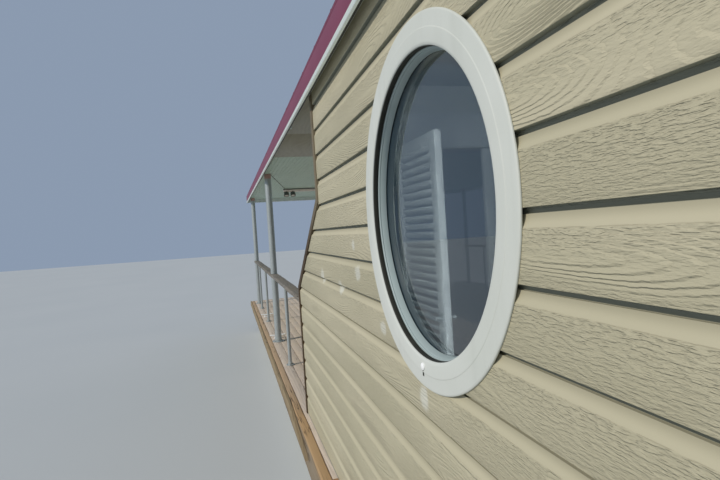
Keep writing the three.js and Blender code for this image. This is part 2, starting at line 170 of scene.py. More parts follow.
def makeSidingPaint(look):
    look = shaded(look)
    paint = Paint("siding_paint", {"Specular IOR Level": 0.35})
    x, y, z = paint.place()
    along = x + y
    rise = z - look["datum"]
    course = math.floor(rise / look["pitch"])
    up = rise - course * look["pitch"]
    top, foot, head = look["faceTop"], look["grooveFoot"], look["grooveHead"]
    face = paint.between(up, top + 0.001, top - 0.002)
    groove = paint.between(up, foot - 0.0006, foot + 0.0004)
    # the groove's dark colour also covers the underside of the lip above it, where it is painted shade
    groove = groove.most(paint.between(up, head + 0.0004, head - 0.0004))
    seed = course * 5.37
    # contours of a stretched noise are the arches of the grain; their saw teeth are its steps
    jitter = paint.noise(along * 45, z * 160, seed, 2.0)
    swirl = paint.noise(along * 1.3 + seed, up * 9, seed, 0.0)
    saw = (swirl * 26 + jitter * 0.6) % 1.0
    steps = (saw / 0.72).least((1 - saw) / 0.28)
    bold = paint.between(paint.noise(along * 1.2 + seed, up * 6, seed + 9, 1.0), 0.44, 0.56)
    upper = paint.between(up, 0.02, top)
    dashes = paint.between(paint.noise(along * 34, z * 185, seed, 2.0, 0.55), 0.41, 0.59)
    fibres = paint.noise(along * 85, z * 380, seed, 3.0, 0.6)
    relief = steps * bold + dashes * (0.5 + 0.6 * upper - 0.45 * bold) + fibres * (1.2 - 0.8 * bold)
    cloud = paint.noise(along * 0.9, z * 2.2, seed, 3.0)
    colour = paint.blend(paint.between(cloud, 0.3, 0.75), look["board"], look["pale"])
    # painted shade: the embossing's hollows and the foot of each of its steps are painted darker
    creviceShade = (1 - dashes) * (0.05 + 0.05 * upper - 0.04 * bold) + paint.between(steps, 0.12, 0.0) * bold * 0.12
    colour = paint.blend(creviceShade * face, colour, look["pit"])
    # painted highlight: the bevel, which faces upwards, is painted a fifth of the way to the pale colour
    colour = paint.blend((1 - face) * 0.2, colour, look["pale"])
    # painted shade: the bevel's upper part, under the lip of the board above, darkens towards the groove
    colour = paint.blend(paint.between(up, top + 0.006, foot) * 0.3, colour, look["pit"])
    colour = paint.blend(groove, colour, look["groove"])
    ragged = paint.noise(along * 55, z * 24, seed, 3.0)
    for smearX, smearZ, halfX, halfZ in look["smears"]:
        spread = ((x - smearX) / halfX) ** 2.0 + ((z - smearZ) / halfZ) ** 2.0
        mask = paint.between(spread + ragged * 1.3, 1.7, 0.8) * paint.between(y, *look["smearInside"])
        colour = paint.blend(mask * 0.6, colour, look["smear"])
    return paint.done(colour, 0.55 + cloud * 0.2, relief * face, look["relief"])


# Timber: fibres and wavy rings along the board, thin dark splits, and a tone of each board's own
timberBase = {"gloss": 0.25, "size": 1.0, "split": 0.012, "vary": 0.3, "relief": 0.0009, "along": "x"}
timberLooks = {
    "deck": {"pale": (228, 213, 196), "dark": (184, 168, 152), "worn": (214, 196, 174),
             "crack": (76, 66, 56), "rough": 0.78, "vary": 0.35},
    "rail": {"pale": (156, 151, 143), "dark": (84, 81, 75), "worn": (134, 126, 114),
             "crack": (42, 38, 34), "rough": 0.75, "relief": 0.0012, "split": 0.02},
    "raw": {"pale": (168, 148, 120), "dark": (92, 78, 60), "worn": (146, 132, 112),
            "top": (190, 156, 114), "topFar": (204, 174, 140), "topFrom": 1.045, "topAlong": (0.1, 1.0),
            "crack": (38, 30, 24), "rough": 0.8, "split": 0.03, "vary": 0.35, "relief": 0.0016, "size": 0.8},
    "plank": {"pale": (180, 162, 130), "dark": (118, 102, 78), "worn": (158, 140, 110), "crack": (36, 34, 28),
              "rough": 0.85, "split": 0.02, "vary": 0.25, "relief": 0.0014, "size": 0.8},
    "frame": {"pale": (150, 126, 96), "dark": (92, 74, 54), "worn": (112, 100, 84),
              "crack": (34, 28, 22), "rough": 0.85, "along": "y"},
    "floor": {"pale": (188, 146, 98), "dark": (122, 82, 48), "worn": (168, 132, 94),
              "crack": (52, 34, 22), "rough": 0.42, "gloss": 0.4, "vary": 0.35, "relief": 0.0004},
    "varnish": {"pale": (96, 76, 50), "dark": (50, 38, 25), "worn": (80, 65, 46),
                "bleach": (134, 124, 102), "bleachFrom": (2.35, 2.75),
                "crack": (22, 17, 13), "rough": 0.6, "gloss": 0.2, "vary": 0.2, "along": "z"},
    "ply": {"pale": (168, 166, 146), "dark": (136, 134, 116), "worn": (158, 158, 140), "crack": (60, 52, 42),
            "rough": 0.5, "gloss": 0.35, "vary": 0.4, "size": 0.35, "relief": 0.0004, "split": 0.004},
    "ceiling": {"pale": (202, 220, 204), "dark": (162, 188, 172), "worn": (186, 206, 190),
                "crack": (72, 100, 94), "rough": 0.5, "gloss": 0.35, "vary": 0.45, "relief": 0.0004,
                "split": 0.006},
}
timberLooks["rawAcross"] = {**timberLooks["raw"], "top": (196, 172, 150), "along": "y"}


def makeTimberPaint(name, look):
    look = shaded({**timberBase, **look})
    paint = Paint(name, {"Specular IOR Level": look["gloss"]})
    place = paint.place()
    run = "xyz".index(look["along"])
    place[0], place[run] = place[run], place[0]
    x, y, z = place    # x is the board's own direction from here on
    tone = paint.tone()
    seed = tone * 41
    size = look["size"]
    wander = paint.noise(x * 0.9 + seed, y * 9 * size, z * 9 * size, 2.0)
    rings = ((y + z * 0.7) * 45 * size + wander * 9 + seed) % 1.0
    ring = abs(rings - 0.5) * 2
    fibre = paint.noise(x * 7 + seed, y * 260 * size, z * 260 * size, 3.0, 0.6)
    split = paint.noise(x * 1.7 + seed, y * 48 * size, z * 48 * size, 2.0, 0.4)
    crack = paint.between(abs(split - 0.5), look["split"], 0.0)
    crack = crack * paint.between(paint.noise(x * 1.1, y * 6, z * 6 + seed), 0.45, 0.6)
    patch = paint.noise(x * 1.6 + seed, y * 7, z * 7, 3.0, 0.6)
    colour = paint.blend(ring * 0.5 + fibre * 0.5, look["dark"], look["pale"])
    colour = paint.blend(paint.between(patch, 0.38, 0.68), colour, look["worn"])
    if "top" in look:
        # the worn top of a beam, with a ragged lower edge
        level = z + paint.noise(x * 5, y * 30, z * 30, 3.0) * 0.03
        top = paint.blend(paint.between(x, *look["topAlong"]), look["top"], look["topFar"])
        share = paint.between(level, look["topFrom"] + 0.012, look["topFrom"] + 0.026) * 0.85
        colour = paint.blend(share, colour, top)
    # paler towards the board's upper end, over the given span along it
    if "bleach" in look:
        colour = paint.blend(paint.between(x, *look["bleachFrom"]) * 0.8, colour, look["bleach"])
    colour = paint.blend(tone * look["vary"], colour, look["dark"])
    colour = paint.blend(crack * 0.85, colour, look["crack"])
    height = fibre * 0.35 + ring * 0.25 - crack
    return paint.done(colour, look["rough"] + (fibre - 0.5) * 0.25, height, look["relief"])


# Painted or moulded coat: faint clouds, run-off streaks, grime and a fine skin
coatBase = {"gloss": 0.45, "metal": 0.0, "streaks": 0.3, "specks": 0.3, "relief": 0.0002}
coatLooks = {
    "lining": {"colour": (206, 208, 198), "faded": (190, 192, 180), "grime": (140, 138, 122), "rough": 0.45,
               "streaks": 0.15, "specks": 0.1},
    "ring": {"colour": (212, 214, 206), "faded": (204, 207, 198), "grime": (170, 172, 160), "rough": 0.42,
             "gloss": 0.35, "streaks": 0.16, "specks": 0.1, "relief": 0.00008},
    # the bead is white; its bluish grey, darker than the ring, is painted shade and painted sky reflection in
    # the window's throat
    "bead": {"colour": (172, 186, 184), "faded": (160, 174, 172), "grime": (120, 130, 126), "rough": 0.4,
             "streaks": 0.2, "specks": 0.1, "relief": 0.00008},
    "gasket": {"colour": (44, 44, 38), "faded": (58, 58, 50), "grime": (86, 84, 74), "rough": 0.55,
               "gloss": 0.3, "relief": 0.0003},
    "maroon": {"colour": (124, 52, 76), "faded": (136, 64, 88), "grime": (100, 54, 68), "rough": 0.4,
               "metal": 0.1, "specks": 0.15},
    "soffit": {"colour": (222, 232, 230), "faded": (208, 220, 218), "grime": (160, 170, 166), "rough": 0.5,
               "specks": 0.15},
    # the next paint is paler than the strip's own white: painted bounce light on the strip's underside
    "drip": {"colour": (246, 254, 250), "faded": (238, 248, 243), "grime": (190, 200, 194), "rough": 0.4,
             "streaks": 0.1, "specks": 0.1},
    "edge": {"colour": (212, 220, 214), "faded": (202, 210, 204), "grime": (150, 154, 146), "rough": 0.4,
             "specks": 0.15},
    "door": {"colour": (222, 226, 226), "faded": (212, 216, 214), "grime": (168, 168, 158), "rough": 0.35,
             "streaks": 0.2, "specks": 0.12},
    "cleat": {"colour": (250, 250, 248), "faded": (242, 243, 240), "grime": (190, 186, 176), "rough": 0.4,
              "streaks": 0.2, "specks": 0.15, "relief": 0.0005},
    "cap": {"colour": (186, 146, 138), "faded": (196, 160, 150), "grime": (150, 110, 100), "rough": 0.5,
            "streaks": 0.4},
    "lamp": {"colour": (86, 91, 90), "faded": (98, 102, 100), "grime": (120, 118, 108), "rough": 0.4,
             "metal": 0.3, "streaks": 0.2},
    "cover": {"colour": (252, 242, 236), "faded": (240, 226, 218), "grime": (190, 172, 162), "rough": 0.45,
              "streaks": 0.2},
    "cable": {"colour": (132, 140, 132), "faded": (120, 128, 120), "grime": (90, 96, 90), "rough": 0.5,
              "streaks": 0.2},
    "lens": {"colour": (206, 206, 196), "faded": (190, 190, 182), "grime": (120, 116, 104), "rough": 0.12,
             "gloss": 0.8, "streaks": 0.1},
}


def makeCoatPaint(name, look):
    look = shaded({**coatBase, **look})
    paint = Paint(name, {"Specular IOR Level": look["gloss"], "Metallic": look["metal"]})
    x, y, z = paint.place()
    cloud = paint.noise(x * 1.7, y * 1.7, z * 1.7, 4.0, 0.6)
    streak = paint.noise(x * 14, y * 14, z * 1.1, 3.0, 0.6)
    speck = paint.noise(x * 90, y * 90, z * 90, 3.0, 0.65)
    colour = paint.blend(paint.between(cloud, 0.3, 0.7), look["colour"], look["faded"])
    colour = paint.blend(paint.between(streak, 0.5, 0.8) * look["streaks"], colour, look["grime"])
    colour = paint.blend(paint.between(speck, 0.62, 0.75) * look["specks"], colour, look["grime"])
    roughness = look["rough"] + cloud * 0.16 + paint.between(speck, 0.6, 0.8) * 0.15
    skin = paint.noise(x * 240, y * 240, z * 240, 2.0)
    return paint.done(colour, roughness, skin * 0.5 + speck * 0.5, look["relief"])


# Galvanised steel: spangle cells under dull streaks
steelLooks = {
    "steel": {"pale": (196, 202, 200), "dark": (150, 158, 158), "stain": (140, 130, 116), "rough": 0.32,
              "metal": 0.4},
    "bolt": {"pale": (170, 170, 168), "dark": (104, 102, 98), "stain": (110, 78, 54), "rough": 0.34,
             "metal": 0.85},
}


def makeSteelPaint(name, look):
    look = shaded(look)
    paint = Paint(name, {"Metallic": look["metal"]})
    x, y, z = paint.place()
    spangle = paint.cells(x * 95, y * 95, z * 95)
    cloud = paint.noise(x * 6, y * 6, z * 1.6, 4.0, 0.6)
    colour = paint.blend(spangle * 0.5 + cloud * 0.5, look["dark"], look["pale"])
    colour = paint.blend(paint.between(cloud, 0.58, 0.75) * 0.4, colour, look["stain"])
    roughness = look["rough"] + spangle * 0.14 + cloud * 0.16
    return paint.done(colour, roughness, spangle * 0.4 + cloud * 0.6, 0.0003)


# Window pane: dark tint, and a see-through share that leaves the reflections
glassLook = {"tint": (34, 52, 64), "ior": 1.6, "gloss": 1.0, "cover": 0.72}


def makeGlassPaint(look):
    look = shaded(look)
    constants = {"Base Color": look["tint"], "IOR": look["ior"], "Specular IOR Level": look["gloss"]}
    paint = Paint("glass_paint", constants)
    x, y, z = paint.place()
    film = paint.noise(x * 3, y * 3, z * 3, 3.0, 0.6)
    salt = paint.between(paint.noise(x * 160, y * 160, z * 160, 2.0), 0.66, 0.78)
    paint.feed("Roughness", 0.015 + film * 0.035 + salt * 0.2)
    paint.feed("Alpha", look["cover"] + film * 0.05 + salt * 0.06)
    return paint.material


# Moulded hull: gelcoat above the waterline, bottom paint below it, scum where they meet
hullPaintLook = {
    "colour": (214, 217, 212), "faded": (198, 200, 192), "grime": (150, 146, 128), "scum": (120, 116, 84),
    "bottom": (44, 58, 84), "bottomWorn": (62, 76, 96), "paintTop": waterline - 0.02,
}


def makeHullPaint(look):
    look = shaded(look)
    paint = Paint("hull_paint", {"Specular IOR Level": 0.5})
    x, y, z = paint.place()
    cloud = paint.noise(x * 0.8, y * 0.8, z * 2.4, 4.0, 0.6)
    streak = paint.noise(x * 11, y * 11, z * 0.9, 3.0, 0.6)
    line = paint.noise(x * 4, y * 4, 0.0, 3.0) * 0.03
    scum = paint.between(z - line, look["paintTop"] + 0.11, look["paintTop"] + 0.01)
    below = paint.between(z, look["paintTop"] + 0.003, look["paintTop"])
    colour = paint.blend(cloud, look["colour"], look["faded"])
    colour = paint.blend(paint.between(streak, 0.52, 0.75) * 0.35, colour, look["grime"])
    colour = paint.blend(scum * 0.6, colour, look["scum"])
    colour = paint.blend(below, colour, paint.blend(cloud, look["bottom"], look["bottomWorn"]))
    skin = paint.noise(x * 70, y * 70, z * 70, 3.0)
    return paint.done(colour, 0.3 + cloud * 0.2 + below * 0.3, skin, 0.0003)


paints = {"siding": makeSidingPaint(sidingLook), "glass": makeGlassPaint(glassLook),
          "hull": makeHullPaint(hullPaintLook)}
for make, looks in ((makeTimberPaint, timberLooks), (makeCoatPaint, coatLooks), (makeSteelPaint, steelLooks)):
    paints.update({name: make(name + "_paint", look) for name, look in looks.items()})
print("paints made,", len(paints))


# Form: grids of points, rows by columns, gathered into one mesh that is welded and turned outwards
class Form:
    def __init__(self):
        self.points, self.faces, self.tones, self.inks = [], [], [], []
        self.count = 0

    def grid(self, points, closeRows=False, closeColumns=True, tone=0.5, ink=0):
        points = np.asarray(points, float)
        if points.ndim == 3:
            points = points[None]
        batch, rows, columns = points.shape[:3]
        index = np.arange(rows * columns).reshape(rows, columns)
        if closeRows:
            index = np.concatenate([index, index[:1]], 0)
        if closeColumns:
            index = np.concatenate([index, index[:, :1]], 1)
        quads = np.stack([index[:-1, :-1], index[1:, :-1], index[1:, 1:], index[:-1, 1:]], -1).reshape(-1, 4)
        first = self.count + np.arange(batch) * rows * columns
        self.faces.append((quads[None] + first[:, None, None]).reshape(-1, 4))
        self.inks.append(np.full(batch * len(quads), ink))
        self.points.append(points.reshape(-1, 3))
        ownTone = np.asarray(tone, float).reshape(-1, 1)
        self.tones.append(np.broadcast_to(ownTone, (batch, rows * columns)).reshape(-1))
        self.count += batch * rows * columns
        return self

    def piece(self, name, slot, inks, body="platform", replaces=(), sharp=38, weld=2e-5):
        points, faces = np.concatenate(self.points), np.concatenate(self.faces)
        mesh = bpy.data.meshes.new(name)
        mesh.vertices.add(len(points))
        mesh.vertices.foreach_set("co", points.astype(np.float32).ravel())
        mesh.loops.add(faces.size)
        mesh.loops.foreach_set("vertex_index", faces.astype(np.int32).ravel())
        mesh.polygons.add(len(faces))
        mesh.polygons.foreach_set("loop_start", np.arange(0, faces.size, 4, dtype=np.int32))
        mesh.polygons.foreach_set("material_index", np.concatenate(self.inks).astype(np.int32))
        tones = mesh.attributes.new("tone", "FLOAT", "POINT")
        tones.data.foreach_set("value", np.concatenate(self.tones).astype(np.float32))
        mesh.update(calc_edges=True)
        work = bmesh.new()
        work.from_mesh(mesh)
        bmesh.ops.remove_doubles(work, verts=work.verts, dist=weld)
        bmesh.ops.dissolve_degenerate(work, edges=work.edges, dist=1e-6)
        bmesh.ops.recalc_face_normals(work, faces=work.faces)
        work.to_mesh(mesh)
        work.free()
        mesh.polygons.foreach_set("use_smooth", np.ones(len(mesh.polygons), bool))
        mesh.set_sharp_from_angle(angle=math.radians(sharp))
        made = bpy.data.objects.new(name, mesh)
        bpy.context.scene.collection.objects.link(made)
        for ink in inks:
            mesh.materials.append(paints[ink])
        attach(made, body)
        if replaces:
            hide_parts(*replaces)
        return made


def corners(node):
    # lowest and highest corner of a CAD node as arrays
    low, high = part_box(node)
    return np.array(low), np.array(high)


def at(x, y, z):
    # points from three coordinates, each a number or an array
    return np.stack(np.broadcast_arrays(x, y, z), -1).astype(float)


def span(start, way, near, far):
    # two distances from a start in one direction, the lower coordinate first
    return sorted((start + way * near, start + way * far))


def rectangle(low, high, height):
    # four corners of a level rectangle, going round
    return at([low[0], high[0], high[0], low[0]], [low[1], low[1], high[1], high[1]], height)


def capped(rows, poles=None):
    # rows of points closed at each end by one point: the pole given, or the end row's middle
    first, last = (rows[0].mean(0), rows[-1].mean(0)) if poles is None else poles
    shape = rows[:1].shape
    return np.concatenate([np.broadcast_to(first, shape), rows, np.broadcast_to(last, shape)])


def eased(outline, radius, steps=4):
    # closed outline with rounded corners: a quadratic arc between the points `radius` before and after each
    outline = np.asarray(outline, float)
    back, ahead = np.roll(outline, 1, 0) - outline, np.roll(outline, -1, 0) - outline
    backLength = np.linalg.norm(back, axis=1, keepdims=True)
    aheadLength = np.linalg.norm(ahead, axis=1, keepdims=True)
    reach = np.minimum(np.reshape(radius, (-1, 1)), 0.45 * np.minimum(backLength, aheadLength))
    start, end = outline + back / backLength * reach, outline + ahead / aheadLength * reach
    t = np.linspace(0, 1, steps)[None, :, None]
    arc = start[:, None] * (1 - t) ** 2 + outline[:, None] * 2 * t * (1 - t) + end[:, None] * t ** 2
    return arc.reshape(-1, 2)


def bent(points, count):
    # quadratic curve through three control points
    a, b, c = np.asarray(points, float)
    t = np.linspace(0, 1, count)[:, None]
    return a * (1 - t) ** 2 + b * 2 * t * (1 - t) + c * t ** 2


def carried(outline, start, end, across, rise, ease=0.002, steps=2):
    # an outline of points (across, up) carried along straight lines from start to end;
    # at each end it is drawn in by `ease` and then to a point, which closes it
    start, end = np.atleast_2d(start).astype(float), np.atleast_2d(end).astype(float)
    outline = np.broadcast_to(outline, (len(start),) + np.shape(outline)[-2:])
    low, high = outline.min(1)[:, None, None], outline.max(1)[:, None, None]
    middle, half = (low + high) / 2, np.maximum((high - low) / 2, 1e-9)
    length = np.linalg.norm(end - start, axis=1)[:, None]
    inner = ease + np.linspace(0, 1, steps)[None] * (length - 2 * ease)
    reach = np.concatenate([0 * length, 0 * length, inner, length, length], 1)
    drawn = np.maximum(half - ease, 0.2 * half) / half
    pole, full = np.zeros_like(drawn), np.ones_like(drawn)
    draw = np.concatenate([pole, drawn, *[full] * steps, drawn, pole], 1)
    section = middle + (outline[:, None] - middle) * draw
    ahead = ((end - start) / length)[:, None, None]
    return (start[:, None, None] + ahead * reach[:, :, None, None]
            + np.asarray(across, float) * section[..., :1] + np.asarray(rise, float) * section[..., 1:])


def bars(low, high, along, ease=0.002, steps=2, curve=3):
    # boxes with rounded long edges: a rectangle with corner arcs of radius `ease`, carried along one axis
    low, high = np.atleast_2d(low).astype(float), np.atleast_2d(high).astype(float)
    across, rise = (along + 1) % 3, (along + 2) % 3
    half = (high - low)[:, [across, rise]] / 2
    turn = (np.arange(4)[:, None] * 90 + np.linspace(0, 90, curve)[None]).ravel() * math.pi / 180
    signs = np.repeat([[1, 1], [-1, 1], [-1, -1], [1, -1]], curve, 0)
    radius = np.minimum(ease, half.min(1) * 0.9)[:, None, None]
    outline = signs * (half[:, None] - radius) + radius * np.stack([np.cos(turn), np.sin(turn)], -1)
    start, end = (low + high) / 2, (low + high) / 2
    start[:, along], end[:, along] = low[:, along], high[:, along]
    axes = np.eye(3)
    return carried(outline, start, end, axes[across], axes[rise], ease, steps)


def turned(profile, centres, axis=(0, 0, 1), count=16):
    # a profile of points (radius, distance along the axis) turned about an axis through each centre
    profile, centres = np.asarray(profile, float), np.atleast_2d(centres).astype(float)
    axis = np.asarray(axis, float) / np.linalg.norm(axis)
    helper = np.array([0, 0, 1.0]) if abs(axis[2]) < 0.9 else np.array([1.0, 0, 0])
    first = np.cross(helper, axis)
    first /= np.linalg.norm(first)
    second = np.cross(axis, first)
    angle = np.arange(count) * 2 * math.pi / count
    spoke = np.cos(angle)[:, None] * first + np.sin(angle)[:, None] * second
    points = profile[:, None, :1] * spoke[None] + profile[:, None, 1:] * axis
    return centres[:, None, None] + points[None]


def mitred(profile, low, high):
    # a profile of points (out, up) carried round a level rectangle, mitred at its four corners
    profile = np.asarray(profile, float)
    rows = np.repeat(rectangle(low, high, 0)[:, None], len(profile), 1)
    signs = np.array([[-1, -1], [1, -1], [1, 1], [-1, 1]])
    rows[..., :2] += signs[:, None] * profile[None, :, :1]
    rows[..., 2] = profile[:, 1]
    return rows


def ripple(points, size, seed, waves=9):
    # a wandering value between about -1 and 1: sine waves in random directions, `size` long on each axis
    draw = np.random.default_rng(seed)
    direction = draw.normal(size=(waves, 3))
    direction *= draw.uniform(0.5, 1.8, (waves, 1)) / np.linalg.norm(direction, axis=1, keepdims=True)
    phase = draw.uniform(0, 2 * math.pi, waves)
    scaled = points * (2 * math.pi / np.asarray(size, float))
    return np.sin(scaled @ direction.T + phase).mean(-1) * 1.8


def worn(points, low, high, amount, seed):
    # arrises are eaten back and faces waver by a few ripples; the outer box is kept
    middle = (low + high) / 2
    outward = np.clip((points - middle) / np.maximum((high - low) / 2, 1e-9), -1, 1)
    loss = 0.5 + 0.5 * ripple(points, (0.5, 0.1, 0.1), seed)
    loss = loss + 0.35 * ripple(points, (0.07, 0.05, 0.05), seed + 1)
    return points - outward * np.clip(loss, 0, 1.4)[..., None] * amount


def tones(count, seed):
    return np.random.default_rng(seed).uniform(0, 1, count)


def screws(centres, axis, radius, proud, count):
    # low domed heads, closed at their crown and sunk into the timber
    profile = [(0, proud), (radius * 0.6, proud * 0.8), (radius, 0), (radius, -0.002), (0, -0.002)]
    return turned(profile, centres, axis, count)


# Hulls: cross sections from the side outline's bottom line, clipped where the ends rake up
hullLook = {
    "inner": 1.45, "outer": 2.45, "top": 0.86, "chine": 0.14, "poleHeight": 0.75,
    "stern": [(-7.45, 0.33), (-7.39, 0.03), (-6.75, 0.0)], "rowsStern": 12, "rowsMiddle": 12,
    "bow": [(5.75, 0.0), (7.1, 0.06), (7.45, 0.64)], "rowsBow": 22,
    "lip": {"inset": 0.006, "half": 0.011, "tall": 0.028, "short": 0.02},
}


def makeHull(name, side, look):
    stern, bow = bent(look["stern"], look["rowsStern"]), bent(look["bow"], look["rowsBow"])
    keel = np.concatenate([stern, np.linspace(stern[-1], bow[0], look["rowsMiddle"] + 2)[1:-1], bow])
    chine, inner, outer, top = (look[key] for key in ("chine", "inner", "outer", "top"))
    upright = np.linspace(top, chine, 14)[:, None]
    turn = np.linspace(0, math.pi / 2, 9)[1:-1, None]
    left = np.concatenate([np.hstack([inner + 0 * upright, upright]),
                           np.hstack([inner + chine * (1 - np.cos(turn)), chine * (1 - np.sin(turn))])])
    floor = np.linspace(inner + chine, outer - chine, 6)[:, None]
    right = left[::-1] * [-1, 1] + [inner + outer, 0]
    section = np.concatenate([left, np.hstack([floor, 0 * floor]), right])
    rows = at(keel[:, :1], section[:, 0], np.maximum(section[:, 1], keel[:, 1:]))
    poles = [np.array([x, (inner + outer) / 2, look["poleHeight"]]) for x in (keel[0, 0], keel[-1, 0])]
    form = Form().grid(capped(rows, poles) * [1, side, 1])
    # a thin lip along the sheer, where deck and hull mouldings meet
    lip = look["lip"]
    ends = keel[0, 0] + lip["short"], keel[-1, 0] - lip["short"]
    for edge in (inner + lip["inset"], outer - lip["inset"]):
        y0, y1 = edge * side - lip["half"], edge * side + lip["half"]
        form.grid(bars([ends[0], y0, top - lip["tall"]], [ends[1], y1, top], 0))
    form.piece("hull_shell_" + name, "hull", ["hull"], replaces=["hull_" + name], sharp=30)


for name, side in sides.items():
    makeHull(name, side, hullLook)
print("hulls made")

# Deck frame: beams across both hulls and bearers along their sides
frameLook = {"beams": 11, "beamWidth": 0.09, "bearers": [-2.30, -1.66, 1.60, 2.24], "bearerWidth": 0.06}


def makeDeckFrame(look):
    low, high = corners("deck_frame")
    starts = np.linspace(low[0], high[0] - look["beamWidth"], look["beams"])
    beams = bars(at(starts, low[1], low[2]), at(starts + look["beamWidth"], high[1], high[2]), 1, 0.006, 12)
    form = Form().grid(beams, tone=tones(len(starts), 3))
    for y, tone in zip(look["bearers"], tones(4, 5)):
        form.grid(bars([low[0] + 0.01, y, low[2] + 0.04],
                       [high[0] - 0.01, y + look["bearerWidth"], high[2] - 0.03], 0, 0.005, 20), tone=tone)
    form.piece("deck_frame_beams", "frame_timber", ["frame"], replaces=["deck_frame"])
    return starts + look["beamWidth"] / 2


beamLines = makeDeckFrame(frameLook)

# Decks: boards side by side across Y, jointed over the crossbeams, two screws at each beam
deckLook = {"boards": 50, "thickness": 0.03, "ease": 0.003, "joint": 0.0015, "screwInset": 0.022,
            "screwSpread": 0.018, "screwStray": 0.003, "screwSunk": 0.0012, "screw": (0.0045, 0.0008, 6)}
openDeck = {"paint": "deck", "slot": "deck_timber", "gap": 0.005, "drop": 0.0016, "screws": True}
decks = {
    "terrace_deck": {**openDeck, "seed": 11},
    "aft_deck": {**openDeck, "seed": 12},
    "cabin_floor": {"paint": "floor", "slot": "floor_timber", "gap": 0.0012, "drop": 0.0003, "seed": 13,
                    "screws": False},
}


def makeDeck(name, own, look):
    low, high = corners(name)
    draw = np.random.default_rng(own["seed"])
    pitch = (high[1] - low[1]) / look["boards"]
    inside = beamLines[(beamLines > low[0] + 0.2) & (beamLines < high[0] - 0.2)]
    beams = beamLines[(beamLines > low[0] + 0.02) & (beamLines < high[0] - 0.02)]
    lines = np.concatenate([beams - look["screwSpread"], beams + look["screwSpread"]])
    across = np.tile([-1, 1], len(lines)) * (pitch / 2 - look["screwInset"])
    starts, ends, heads = [], [], []
    for board in range(look["boards"]):
        cuts = inside[(board * 2) % 3::3] if len(inside) > 2 else inside[:0]
        edges = np.concatenate([[low[0]], cuts, [high[0]]])
        y = low[1] + (board + 0.5) * pitch
        top = high[2] - draw.uniform(0, own["drop"], len(edges) - 1)
        starts.append(at(edges[:-1] + look["joint"], y, top))
        ends.append(at(edges[1:] - look["joint"], y, top))
        if own["screws"]:
            x = np.repeat(lines, 2) + draw.uniform(-look["screwStray"], look["screwStray"], len(across))
            heads.append(at(x, y + across, high[2] - look["screwSunk"]))
    starts, ends = np.concatenate(starts), np.concatenate(ends)
    half = (pitch - own["gap"]) / 2
    thick = look["thickness"]
    outline = eased([(-half, -thick), (half, -thick), (half, 0), (-half, 0)], look["ease"], 3)
    boards = carried(outline, starts, ends, (0, 1, 0), (0, 0, 1), 0.0015)
    form = Form().grid(boards, tone=draw.uniform(0, 1, len(starts)))
    form.piece(name + "_boards", own["slot"], [own["paint"]], replaces=[name])
    if own["screws"]:
        form = Form().grid(screws(np.concatenate(heads), (0, 0, 1), *look["screw"]))
        form.piece(name + "_screws", own["slot"], ["bolt"], sharp=60)


for name, own in decks.items():
    makeDeck(name, own, deckLook)
print("decks made")

# Edge beams and rubbing planks: sawn timber with worn arrises and a wavering face
beamLook = {"ease": 0.007, "wear": 0.0022}
edgeBeams = {    # axis of its length, rows along it, seed of its wear, tone, paint
    "port": (0, 260, 21, 0.3, "raw"), "starboard": (0, 260, 19, 0.3, "raw"),
    "front": (1, 90, 30, 0.6, "rawAcross"), "rear": (1, 90, 30, 0.6, "rawAcross"),
}
plankLook = {"ease": 0.005, "wear": 0.003, "tail": (-0.4, 0.5), "boltPitch": 0.75, "boltFrom": 1.2,
             "washer": [(0, 0.0035), (0.006, 0.003), (0.0075, 0.001), (0.0135, 0.0008), (0.0145, -0.001),
                        (0, -0.002)]}


def makeEdgeBeam(name, along, rows, seed, tone, ink, look):
    low, high = corners("edge_beam_" + name)
    timber = bars(low, high, along, look["ease"], rows, 4)
    across = [1 - along, 2]
    timber[..., across] = worn(timber, low, high, look["wear"], seed)[..., across]
    form = Form().grid(timber, tone=tone)
    form.piece("edge_beam_timber_" + name, "raw_timber", [ink], replaces=["edge_beam_" + name])


def makeRubbingPlank(name, side, look):
    low, high = corners("rubbing_plank_" + name)
    timber = bars(low, high, 0, look["ease"], 200, 4)[0]
    timber[..., 1:] = worn(timber, low, high, look["wear"], 40 + side)[..., 1:]
    # the rear end runs out on a long slant: X is squeezed towards the tail's own line at each height
    share = (high[0] - timber[..., 0]) / (high[0] - low[0])
    rise = np.clip((timber[..., 2] - low[2]) / (high[2] - low[2]), 0, 1)
    tail = look["tail"][0] + (look["tail"][1] - look["tail"][0]) * rise
    timber[..., 0] = high[0] - share * (high[0] - tail)
    form = Form().grid(timber, tone=0.8)
    form.piece("rubbing_timber_" + name, "raw_timber", ["plank"], replaces=["rubbing_plank_" + name])
    x = np.arange(low[0] + look["boltFrom"], high[0] - 0.1, look["boltPitch"])
    outer = high[1] if side > 0 else low[1]
    middles = at(x, outer - side * 0.004, (low[2] + high[2]) / 2)
    form = Form().grid(turned(look["washer"], middles, (0, side, 0), 14))
    form.piece("rubbing_bolts_" + name, "raw_timber", ["bolt"])


for name, own in edgeBeams.items():
    makeEdgeBeam(name, *own, beamLook)
for name, side in sides.items():
    makeRubbingPlank(name, side, plankLook)
print("platform made")

